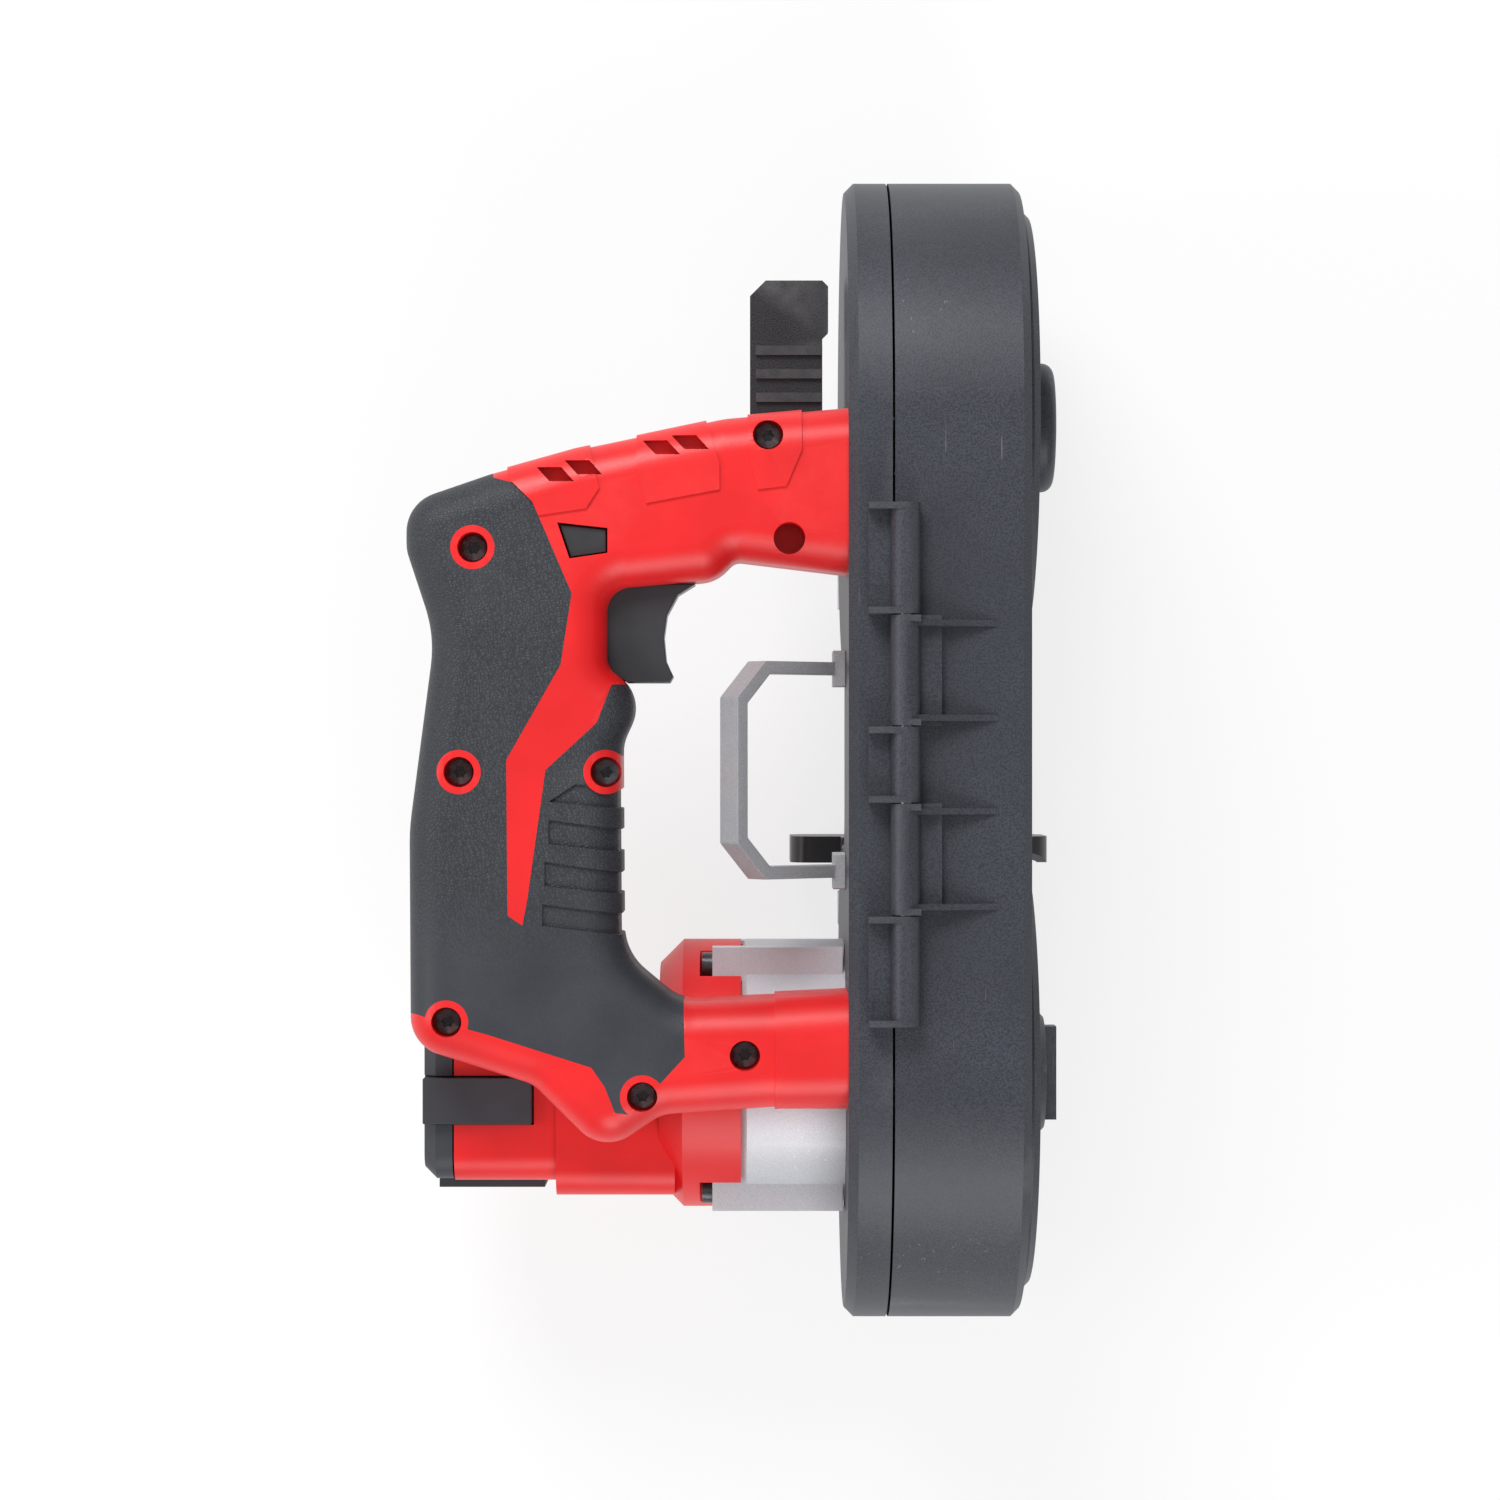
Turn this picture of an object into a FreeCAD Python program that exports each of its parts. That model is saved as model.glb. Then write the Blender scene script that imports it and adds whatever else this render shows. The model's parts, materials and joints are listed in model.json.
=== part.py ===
import FreeCAD, Part
import math
import os
import Sketcher

# Portable band saw, in millimetres. +X runs from the handle towards the hinged cover,
# +Y from the drive wheel towards the idler wheel, and +Z from the throat up to the hinge.

doc = FreeCAD.newDocument("band_saw")
sheet = doc.addObject("Spreadsheet::Sheet", "Sizes")

DRIVING_SIZES = {
    # Guard: frame and cover share one outline, two round ends and an open throat below.
    "end_radius": 62.5,
    "wheel_span": 166.4,
    "lobe_overlap": 2.3,
    "throat_rise": 76.5,
    "throat_round": 8.0,
    "frame_back": 26.45,
    "frame_depth": 10.6,
    "frame_plate": 3.5,
    "frame_rim": 2.6,
    "frame_bevel": 2.4,
    "parting_gap": 0.6,
    "cover_depth": 33.3,
    "cover_wall": 2.2,
    "cover_bevel": 2.0,
    "plateau_radius": 55.5,
    "plateau_height": 2.6,
    "plateau_bevel": 1.6,
    "cut_overrun": 1.0,
    # Hinge along the top edge.
    "hinge_reach": 13.5,
    "knuckle_radius": 3.65,
    "knuckle_lift": 0.4,
    "knuckle_gap": 0.3,
    "hinge_pin_radius": 1.5,
    "pin_clearance": 0.05,
    "frame_web_reach": 8.9,
    "web_thickness": 2.2,
    "rib_thickness": 1.6,
    "gusset_thickness": 1.5,
    "gusset_reach": 23.0,
    "gusset_inset": 2.0,
    "knuckle_one": 59.8,
    "knuckle_two": 32.7,
    "knuckle_three": 5.8,
    "knuckle_four": -12.8,
    "knuckle_five": -39.9,
    "knuckle_six": -66.8,
    # Caps on the cover.
    "cap_radius": 16.6,
    "cap_height": 7.0,
    "cap_bevel": 3.0,
    "knob_radius": 16.4,
    "knob_height": 4.2,
    "knob_bevel": 2.0,
    "knob_bar_width": 7.0,
    "knob_bar_length": 24.0,
    "knob_bar_height": 3.3,
    "spindle_radius": 4.0,
    "cam_length": 20.0,
    "cam_width": 8.0,
    "cam_thickness": 1.8,
    "cam_gap": 0.3,
    # Wheels, tyres and blade.
    "wheel_offset": 17.0,
    "wheel_width": 14.0,
    "tyre_radius": 55.3,
    "tyre_thickness": 2.6,
    "wheel_rim": 4.0,
    "wheel_web": 4.0,
    "hub_radius": 12.0,
    "hub_back": 4.0,
    "hub_front": 4.0,
    "spoke_hole_radius": 9.0,
    "spoke_hole_circle": 30.0,
    "blade_width": 12.7,
    "blade_thickness": 0.6,
    "blade_gap": 0.3,
    "tooth_overhang": 1.0,
    "tooth_pitch": 2.4,
    "tooth_depth": 1.1,
    "twist_start": 12.0,
    "twist_span": 28.0,
    # Shafts, bearings and wheel bolts.
    "shaft_radius": 6.0,
    "bearing_radius": 13.0,
    "bearing_width": 8.0,
    "bearing_boss": 17.0,
    "bolt_radius": 9.0,
    "bolt_height": 3.0,
    # Gear case and its gears.
    "case_radius": 34.4,
    "case_length": 26.3,
    "case_wall": 3.2,
    "case_end": 4.0,
    "case_bevel": 1.5,
    "gear_module": 0.7,
    "gear_face": 5.0,
    "pinion_face": 6.4,
    "gear_backlash": 0.12,
    "gear_gap": 1.2,
    "layshaft_radius": 3.0,
    "layshaft_seat": 2.4,
    "motor_shaft_radius": 2.6,
    "motor_bearing_radius": 8.0,
    # Motor and battery housing.
    "collar_length": 20.7,
    "collar_bevel": 6.0,
    "bulkhead": 4.0,
    "stator_radius": 27.0,
    "stator_bore": 14.4,
    "stator_length": 15.4,
    "stator_inset": 2.0,
    "air_gap": 0.5,
    "socket_drop": 5.3,
    "socket_half_width": 24.4,
    "socket_half_height": 24.0,
    "socket_length": 26.0,
    "mouth_half_width": 20.8,
    "mouth_half_height": 22.4,
    "mouth_length": 25.8,
    "socket_round": 7.0,
    "socket_wall": 2.6,
    "battery_gap": 0.4,
    "battery_cap_length": 7.7,
    "battery_cap_bevel": 3.0,
    "latch_width": 11.6,
    "latch_length": 27.5,
    "latch_height": 2.6,
    "latch_depth": 3.0,
    "latch_gap": 0.4,
    "latch_travel": 1.6,
    "contact_width": 16.0,
    "contact_height": 12.0,
    "contact_depth": 1.4,
    # Handle halves, parted on one plane.
    "handle_reach": 108.3,
    "handle_top": 83.9,
    "handle_drop": 20.5,
    "half_thickness": 17.0,
    "handle_round": 9.0,
    "grip_skin": 2.0,
    "band_height": 0.6,
    "groove_depth": 0.8,
    "vent_width": 6.0,
    "vent_height": 3.6,
    "vent_lean": 1.6,
    "vent_depth": 6.0,
    "blind_hole_radius": 3.85,
    "blind_hole_depth": 13.0,
    "drive_recess_radius": 1.7,
    "drive_recess_depth": 1.4,
    "ear_reach": 7.2,
    "ear_width": 9.0,
    "ear_rise": 22.0,
    "ear_inset": 1.1,
    "ear_gap": 0.4,
    "ear_screw_room": 3.2,
    "skirt_length": 27.0,
    "skirt_thickness": 2.2,
    "skirt_half": 9.0,
    "boss_radius": 5.4,
    "screw_head_radius": 3.0,
    "screw_head_height": 2.6,
    "screw_shank_radius": 1.5,
    "screw_recess": 8.0,
    "screw_bite": 11.0,
    "counterbore_radius": 3.7,
    "saddle_gap": 0.3,
    "trigger_width": 12.0,
    "trigger_travel": 6.0,
    "trigger_gap": 0.4,
    "trigger_tail": 7.0,
    "button_travel": 4.0,
    "button_recess": 1.2,
    "button_gap": 0.35,
    "switch_width": 20.0,
    "switch_length": 18.0,
    "switch_height": 26.0,
    "board_length": 30.0,
    "board_height": 22.0,
    "board_thickness": 1.6,
    # Idler carriage and tension lever.
    "carriage_length": 44.0,
    "carriage_half": 14.0,
    "carriage_thickness": 5.6,
    "carriage_gap": 0.3,
    "tension_travel": 2.0,
    "rail_width": 3.0,
    "cam_inset": 17.0,
    "cam_pin_radius": 3.0,
    "cam_throw": 1.0,
    "cam_play": 0.7,
    "lever_shaft_radius": 6.0,
    "lever_hub_radius": 9.5,
    "lever_width": 20.0,
    "lever_standoff": 4.0,
    "lever_reach": 54.0,
    "lever_thickness": 6.0,
    "lever_bevel": 4.0,
    "lever_step": 1.5,
    "lever_block": 13.0,
    "lever_rib": 1.2,
    "lever_rib_pitch": 6.0,
    "lever_rib_start": 18.0,
    # Blade guides, shoe and throat guard.
    "guide_inset": 20.0,
    "roller_radius": 3.0,
    "roller_length": 5.0,
    "roller_bore": 1.3,
    "bracket_width": 9.0,
    "bracket_depth": 5.0,
    "bracket_height": 17.5,
    "exit_height": 22.0,
    "exit_length": 36.0,
    "shoe_left": 13.2,
    "shoe_width": 68.65,
    "shoe_thickness": 7.0,
    "shoe_wall": 2.4,
    "shoe_drop": 3.0,
    "shoe_height": 30.0,
    "shoe_round": 6.0,
    "shoe_slot": 3.0,
    "slot_back": 8.9,
    "loop_length": 41.0,
    "loop_half": 27.0,
    "loop_middle": -5.0,
    "loop_corner": 9.0,
    "loop_bar": 3.2,
    "loop_width": 6.9,
    "loop_tilt": 40.0,
    "loop_root": 82.0,
    "loop_foot": 9.0,
    "foot_height": 13.5,
    "foot_drop": 2.25,
    "fixing_radius": 2.0,
    "fixing_head_radius": 3.6,
    "fixing_head": 2.4,
    "fixing_length": 10.0,
    "fixing_bite": 8.0,
}

# Handle outline as shares of its reach from the frame and of its top edge, with a corner round
# as a share of the reach. Both arms end on the frame, at reach zero.
handle_outline_shares = [
    (0.000, 1.000, 0.000), (0.279, 0.968, 0.180), (0.617, 0.876, 0.180), (0.813, 0.805, 0.110),
    (1.000, 0.722, 0.092), (1.000, 0.584, 0.100), (0.936, 0.334, 0.300), (0.993, -0.230, 0.500),
    (0.990, -0.864, 0.090), (0.714, -0.977, 0.080), (0.554, -1.180, 0.090), (0.421, -1.066, 0.090),
    (0.151, -1.042, 0.080), (0.000, -1.042, 0.000), (0.000, -0.715, 0.000), (0.382, -0.737, 0.100),
    (0.509, -0.600, 0.130), (0.512, 0.020, 0.090), (0.462, 0.162, 0.090), (0.545, 0.240, 0.050),
    (0.545, 0.470, 0.055), (0.300, 0.498, 0.090), (0.255, 0.556, 0.030), (0.000, 0.516, 0.000),
]
# Soft grip border on each half, in the same shares.
grip_border_shares = [
    (0.825, 1.000), (0.801, 0.793), (0.755, 0.776), (0.710, 0.719), (0.622, 0.454),
    (0.647, 0.247), (0.769, -0.029), (0.766, -0.480), (0.733, -0.509), (0.722, -0.436),
    (0.681, -0.058), (0.566, 0.079), (0.533, 0.191), (0.400, 0.191), (0.400, -0.640),
    (0.372, -0.703), (0.368, -0.890), (0.420, -0.963), (0.494, -1.058), (0.525, -1.052),
    (0.548, -0.977), (0.578, -0.921), (0.810, -0.826), (0.974, -0.768), (1.080, -0.768),
    (1.080, 1.000),
]
# Clamshell screws; the first five stand in bosses that the soft grip leaves free.
screw_place_shares = [
    (0.845, 0.588), (0.876, -0.064), (0.546, -0.064), (0.904, -0.790), (0.464, -1.007),
    (0.233, -0.887), (0.181, 0.915),
]
GRIP_BOSSES = 5
# Trigger outline, lock button outline and their seats, in handle shares.
trigger_outline_shares = [
    (0.345, 0.487), (0.385, 0.455), (0.410, 0.395), (0.417, 0.330), (0.412, 0.260), (0.396, 0.215),
    (0.404, 0.197), (0.500, 0.197), (0.575, 0.260), (0.575, 0.450), (0.520, 0.490),
]
button_outline_shares = [(0.545, 0.575), (0.545, 0.640), (0.650, 0.655), (0.625, 0.560)]
vent_place_shares = [(0.659, 0.800), (0.596, 0.820), (0.421, 0.878), (0.356, 0.893)]
blind_hole_shares = (0.133, 0.615)
# Raised saddles that wrap over the top arm and the end of the low one, and grooves between the
# finger bands of the grip.
saddle_band_shares = [
    [(0.705, 0.678), (0.590, 0.700), (0.560, 0.760), (0.605, 1.000), (0.800, 1.000), (0.765, 0.790)],
    [(0.455, 0.715), (0.290, 0.755), (0.290, 0.830), (0.330, 1.000), (0.480, 1.000), (0.475, 0.800)],
    [(0.205, 0.755), (0.140, 0.765), (0.105, 0.870), (0.105, 1.050), (0.230, 1.050), (0.222, 0.850)],
    [(0.165, -0.600), (0.000, -0.600), (0.000, -1.200), (0.165, -1.200)],
]
finger_groove_shares = [
    [(0.614, -0.099), (0.674, -0.150), (0.450, -0.179), (0.450, -0.114)],
    [(0.674, -0.203), (0.674, -0.273), (0.450, -0.305), (0.450, -0.241)],
    [(0.683, -0.324), (0.683, -0.395), (0.450, -0.427), (0.450, -0.368)],
    [(0.688, -0.447), (0.688, -0.510), (0.450, -0.548), (0.450, -0.486)],
]
# Screws that hold the arms to the frame, two in each arm.
top_fixing_shares = (0.90, 0.62)
low_fixing_shares = (-0.78, -0.97)
# Gear teeth, in modules.
ADDENDUM_SHARE = 0.95
DEDENDUM_SHARE = 1.25
# The part of a blade tooth's pitch that its sloping back takes.
TOOTH_BACK_SHARE = 0.65
# Counts, and angles in degrees.
LEVER_RIBS = 4
GEAR_TEETH = 36
PINION_TEETH = 12
GEAR_PRESSURE_ANGLE = 20.0
SPOKE_HOLES = 6
WORK_TWIST = 45.0
DRIVE_POINTS = 6
# Inner radius of a screw's star recess as a share of its outer one.
DRIVE_WAIST_SHARE = 0.72


class Size(float):
    """A number that remembers the sheet formula it came from."""

    def __new__(cls, value, text):
        size = float.__new__(cls, value)
        size.text = text
        return size

    def __add__(self, other):
        return Size(float(self) + float(other), f"({self.text} + {text_of(other)})")

    def __radd__(self, other):
        return Size(float(other) + float(self), f"({text_of(other)} + {self.text})")

    def __sub__(self, other):
        return Size(float(self) - float(other), f"({self.text} - {text_of(other)})")

    def __rsub__(self, other):
        return Size(float(other) - float(self), f"({text_of(other)} - {self.text})")

    def __mul__(self, other):
        return Size(float(self) * float(other), f"({self.text} * {text_of(other)})")

    def __rmul__(self, other):
        return Size(float(other) * float(self), f"({text_of(other)} * {self.text})")

    def __truediv__(self, other):
        return Size(float(self) / float(other), f"({self.text} / {text_of(other)})")

    def __neg__(self):
        return Size(-float(self), f"(0 - {self.text})")


def text_of(number):
    return number.text if isinstance(number, Size) else repr(float(number))


class Sizes:
    """Sheet cells by alias."""


for row, (alias, value) in enumerate(DRIVING_SIZES.items(), start=1):
    sheet.set(f"A{row}", repr(value))
    sheet.setAlias(f"A{row}", alias)
    setattr(Sizes, alias, Size(value, f"Sizes.{alias}"))
doc.recompute()
S = Sizes

# Derived places
axis_height = S.end_radius
drive_y = -S.wheel_span / 2
idler_y = S.wheel_span / 2
throat_half = S.wheel_span / 2 - S.end_radius + S.lobe_overlap
guide_place = throat_half + S.guide_inset
parting = S.frame_back + S.frame_depth
cover_start = parting + S.parting_gap
cover_face = cover_start + S.cover_depth
rim_start = S.frame_back + S.wheel_offset
rim_end = rim_start + S.wheel_width
hinge_x = S.frame_back + S.hinge_reach
top_height = axis_height + S.end_radius
hinge_z = top_height + S.knuckle_radius + S.knuckle_lift
gear_pitch = S.gear_module * (GEAR_TEETH + PINION_TEETH) / 2
layshaft_z = axis_height - gear_pitch
case_start = S.frame_back - S.case_length
collar_start = case_start - S.collar_length
socket_y = drive_y - S.socket_drop
blade_end = rim_end + S.tooth_overhang
blade_start = blade_end - S.blade_width
blade_inner = S.tyre_radius + S.blade_gap
blade_outer = blade_inner + S.blade_thickness
parting_height = top_height - S.handle_drop
near_face = parting_height + S.half_thickness
far_face = parting_height - S.half_thickness
ORIGIN = FreeCAD.Vector(0, 0, 0)
nodes = []


def vector(u, v):
    return FreeCAD.Vector(float(u), float(v), 0)


def bind(thing, prop, size):
    if isinstance(size, Size):
        thing.setExpression(prop, size.text)


def keep(node):
    """Mark an object as a finished sub-part."""
    nodes.append(node)
    return node


# Loops for sketches: a circle is a tuple, a path is a list of lines and arcs.
def circle(u, v, radius):
    return (u, v, radius)


def rounded_path(points):
    """Closed path through (u, v, corner round) points, with tangent arcs at the corners."""
    count = len(points)
    starts = []
    ends = []
    middles = []
    for index, (u, v, corner) in enumerate(points):
        here = vector(u, v)
        before = vector(*points[index - 1][:2]) - here
        after = vector(*points[(index + 1) % count][:2]) - here
        if float(corner) == 0:
            starts.append(here)
            ends.append(here)
            middles.append(None)
            continue
        before.normalize()
        after.normalize()
        half = before.getAngle(after) / 2
        back = float(corner) / math.tan(half)
        bisector = before + after
        bisector.normalize()
        centre = here + bisector * (float(corner) / math.sin(half))
        starts.append(here + before * back)
        ends.append(here + after * back)
        middles.append(centre - bisector * float(corner))
    edges = []
    for index in range(count):
        if middles[index] is not None:
            edges.append(Part.Arc(starts[index], middles[index], ends[index]))
        following = starts[(index + 1) % count]
        if (following - ends[index]).Length > 1e-6:
            edges.append(Part.LineSegment(ends[index], following))
    return edges


def plain_path(points):
    return rounded_path([(u, v, 0) for u, v in points])


def rectangle(u, v, half_u, half_v, corner=0):
    return rounded_path([(u - half_u, v - half_v, corner), (u + half_u, v - half_v, corner),
                         (u + half_u, v + half_v, corner), (u - half_u, v + half_v, corner)])


def guard_path(inset):
    """Guard outline drawn in by inset: two round ends, a flat top and the throat."""
    radius = float(S.end_radius - inset)
    half = float(S.wheel_span / 2)
    wall = float(throat_half + inset)
    top = float(top_height - inset)
    roof = float(S.throat_rise + inset)
    corner = float(S.throat_round + inset)
    middle = float(axis_height)
    drop = math.sqrt(radius ** 2 - (half - wall) ** 2)
    right_low = vector(wall, middle - drop)
    left_low = vector(-wall, middle - drop)
    bend = corner * (1 - math.sqrt(0.5))
    return [
        Part.LineSegment(vector(-half, top), vector(half, top)),
        Part.Arc(vector(half, top), vector(half + radius, middle), vector(half, middle - radius)),
        Part.Arc(vector(half, middle - radius),
                 vector(half - radius * math.cos(math.pi / 4), middle - radius * math.sin(math.pi / 4)),
                 right_low),
        Part.LineSegment(right_low, vector(wall, roof - corner)),
        Part.Arc(vector(wall, roof - corner), vector(wall - bend, roof - bend),
                 vector(wall - corner, roof)),
        Part.LineSegment(vector(wall - corner, roof), vector(corner - wall, roof)),
        Part.Arc(vector(corner - wall, roof), vector(bend - wall, roof - bend),
                 vector(-wall, roof - corner)),
        Part.LineSegment(vector(-wall, roof - corner), left_low),
        Part.Arc(left_low,
                 vector(radius * math.cos(math.pi / 4) - half, middle - radius * math.sin(math.pi / 4)),
                 vector(-half, middle - radius)),
        Part.Arc(vector(-half, middle - radius), vector(-half - radius, middle), vector(-half, top)),
    ]


# Features
def new_body(name):
    body = doc.addObject("PartDesign::Body", name)
    body.Label = name
    return body


def sketch_on(body, role, offset, loops):
    """Sketch on one of the body's own planes, moved along that plane's normal."""
    sketch = body.newObject("Sketcher::SketchObject", f"{body.Name}_sketch")
    plane = [feature for feature in body.Origin.OriginFeatures if feature.Role == role][0]
    sketch.AttachmentSupport = [(plane, "")]
    sketch.MapMode = "FlatFace"
    bind(sketch, "AttachmentOffset.Base.z", offset)
    for loop in loops:
        if isinstance(loop, tuple):
            u, v, radius = loop
            shape = Part.Circle(vector(u, v), FreeCAD.Vector(0, 0, 1), float(radius))
            place = sketch.addGeometry(shape, False)
            for kind, size in (("DistanceX", u), ("DistanceY", v)):
                index = sketch.addConstraint(Sketcher.Constraint(kind, place, 3, float(size)))
                bind(sketch, f"Constraints[{index}]", size)
            index = sketch.addConstraint(Sketcher.Constraint("Radius", place, float(radius)))
            bind(sketch, f"Constraints[{index}]", radius)
        else:
            sketch.addGeometry(loop, False)
    return sketch


def pad(body, role, start, length, loops):
    sketch = sketch_on(body, role, start, loops)
    feature = body.newObject("PartDesign::Pad", f"{body.Name}_pad")
    feature.Profile = sketch
    bind(feature, "Length", length)
    body.Tip = feature
    doc.recompute()
    return feature


def pocket(body, role, start, length, loops):
    """Cut along the plane's normal from start."""
    before = body.Shape.Volume
    sketch = sketch_on(body, role, start, loops)
    feature = body.newObject("PartDesign::Pocket", f"{body.Name}_pocket")
    feature.Profile = sketch
    feature.Reversed = True
    bind(feature, "Length", length)
    body.Tip = feature
    doc.recompute()
    if body.Shape.Volume >= before:
        raise ValueError(f"{feature.Name} cuts nothing")
    return feature


def bevel(body, role, start, length, first, last):
    """Ruled skin between two outlines of the same make, one at each end of length."""
    low = sketch_on(body, role, start, [first])
    high = sketch_on(body, role, start + length, [last])
    feature = body.newObject("PartDesign::AdditiveLoft", f"{body.Name}_bevel")
    feature.Profile = low
    feature.Sections = [high]
    feature.Ruled = True
    body.Tip = feature
    doc.recompute()
    return feature


def edges_where(body, test):
    return [f"Edge{index}" for index, edge in enumerate(body.Shape.Edges, start=1) if test(edge)]


def edge_at(axis, place):
    """Test for edges that lie wholly at one place along an axis."""
    def test(edge):
        box = edge.BoundBox
        low, high = {"x": (box.XMin, box.XMax), "y": (box.YMin, box.YMax), "z": (box.ZMin, box.ZMax)}[axis]
        return abs(low - float(place)) < 1e-3 and abs(high - float(place)) < 1e-3
    return test


def dress(body, kind, size, test):
    """Fillet or chamfer the edges that pass the test."""
    base = body.Tip
    edges = edges_where(body, test)
    feature = body.newObject(f"PartDesign::{kind}", f"{body.Name}_{kind.lower()}")
    feature.Base = (base, edges)
    bind(feature, "Radius" if kind == "Fillet" else "Size", size)
    body.Tip = feature
    doc.recompute()
    return feature


def bound_place(thing, x, y, z):
    for letter, size in zip("xyz", (x, y, z)):
        bind(thing, f"Placement.Base.{letter}", size)


def box(name, x, y, z, length, width, height):
    thing = doc.addObject("Part::Box", name)
    for prop, size in (("Length", length), ("Width", width), ("Height", height)):
        bind(thing, prop, size)
    bound_place(thing, x, y, z)
    return thing


TURNS = {
    "x": FreeCAD.Rotation(FreeCAD.Vector(0, 1, 0), 90),
    "y": FreeCAD.Rotation(FreeCAD.Vector(1, 0, 0), -90),
    "z": FreeCAD.Rotation(),
}


def cylinder(name, axis, x, y, z, radius, length):
    thing = doc.addObject("Part::Cylinder", name)
    thing.Placement = FreeCAD.Placement(ORIGIN, TURNS[axis])
    bind(thing, "Radius", radius)
    bind(thing, "Height", length)
    bound_place(thing, x, y, z)
    return thing


def cut(name, base, *tools):
    for number, tool in enumerate(tools, start=1):
        thing = doc.addObject("Part::Cut", name if number == len(tools) else f"{name}_cut")
        thing.Base = base
        thing.Tool = tool
        base = thing
    base.Label = name
    return base


def fuse(name, *shapes):
    thing = doc.addObject("Part::MultiFuse", name)
    thing.Shapes = list(shapes)
    thing.Label = name
    return thing


def common(name, first, second):
    thing = doc.addObject("Part::Common", name)
    thing.Base = first
    thing.Tool = second
    thing.Label = name
    return thing


def group(name, things):
    thing = doc.addObject("Part::Compound", name)
    thing.Links = list(things)
    thing.Label = name
    return thing


def tube(name, start, length, y, z, outer, inner):
    """Round ring along X."""
    body = new_body(name)
    pad(body, "YZ_Plane", start, length, [circle(y, z, outer), circle(y, z, inner)])
    return body


def star_path(u, v, radius):
    """Six-pointed drive recess."""
    points = []
    for index in range(DRIVE_POINTS * 2):
        reach = float(radius) * (1.0 if index % 2 == 0 else DRIVE_WAIST_SHARE)
        angle = math.pi * index / DRIVE_POINTS
        points.append((float(u) + reach * math.cos(angle), float(v) + reach * math.sin(angle)))
    return plain_path(points)


def screw(name, axis, x, y, z, sign, head_radius, head_height, shank_radius, length):
    """Headed screw with a star recess. The place is under its head, and the shank runs along sign."""
    role, u, v, under = ("YZ_Plane", y, z, x) if axis == "x" else ("XY_Plane", x, y, z)
    body = new_body(name)
    head_start = under - head_height if sign > 0 else under
    pad(body, role, under if sign > 0 else under - length, length, [circle(u, v, shank_radius)])
    pad(body, role, head_start, head_height, [circle(u, v, head_radius)])
    recess_start = head_start if sign > 0 else under + head_height - S.drive_recess_depth
    pocket(body, role, recess_start, S.drive_recess_depth, [star_path(u, v, S.drive_recess_radius)])
    return body


# Guard frame
def make_frame():
    body = new_body("frame_casting")
    pad(body, "YZ_Plane", S.frame_back + S.frame_bevel, S.frame_depth - S.frame_bevel, [guard_path(0)])
    bevel(body, "YZ_Plane", S.frame_back, S.frame_bevel, guard_path(S.frame_bevel), guard_path(0))
    inner = S.frame_back + S.frame_plate
    pocket(body, "YZ_Plane", inner, S.frame_depth - S.frame_plate + S.cut_overrun,
           [guard_path(S.frame_rim)])
    seat_depth = S.bearing_width + S.cam_gap
    pad(body, "YZ_Plane", S.frame_back, seat_depth, [circle(drive_y, axis_height, S.bearing_boss)])
    pocket(body, "YZ_Plane", S.frame_back - S.cut_overrun, S.bearing_width + S.cut_overrun,
           [circle(drive_y, axis_height, S.bearing_radius)])
    pocket(body, "YZ_Plane", S.frame_back, seat_depth + S.cut_overrun,
           [circle(drive_y, axis_height, S.shaft_radius + S.cam_play)])
    pocket(body, "YZ_Plane", S.frame_back - S.cut_overrun, S.layshaft_seat + S.cut_overrun,
           [circle(drive_y, layshaft_z, S.layshaft_radius + S.pin_clearance)])
    rail_place = S.carriage_half + S.carriage_gap + S.rail_width / 2
    for side in (-1, 1):
        pad(body, "YZ_Plane", S.frame_back, S.frame_plate + S.carriage_gap + S.carriage_thickness,
            [rectangle(idler_y, axis_height + side * rail_place,
                       S.carriage_length / 2 + S.tension_travel, S.rail_width / 2)])
    pocket(body, "YZ_Plane", S.frame_back - S.cut_overrun, S.frame_plate + S.cut_overrun * 2,
           [circle(idler_y - S.cam_inset, axis_height, S.lever_shaft_radius + S.pin_clearance)])
    for place in frame_fixings():
        pocket(body, "YZ_Plane", S.frame_back - S.cut_overrun, S.frame_plate + S.cut_overrun * 2,
               [circle(place[0], place[1], S.fixing_radius + S.pin_clearance)])
    hinges = [knuckle("frame", number, high, low, -1)
              for number, (high, low) in enumerate(((S.knuckle_one, S.knuckle_two),
                                                    (S.knuckle_three, S.knuckle_four),
                                                    (S.knuckle_five, S.knuckle_six)), start=1)]
    whole = fuse("frame_solid", body, *hinges)
    bore = cylinder("frame_pin_bore", "y", hinge_x, S.knuckle_six - S.cut_overrun, hinge_z,
                    S.hinge_pin_radius + S.pin_clearance,
                    S.knuckle_one - S.knuckle_six + S.cut_overrun * 2)
    return keep(cut("main_frame", whole, bore))


def frame_fixings():
    """Places of the screws that hold the two handle arms, two in each."""
    low_rise = parting_height + S.fixing_head_radius
    return ([(S.handle_top * share, parting_height) for share in top_fixing_shares]
            + [(S.handle_top * share, low_rise) for share in low_fixing_shares])


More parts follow.
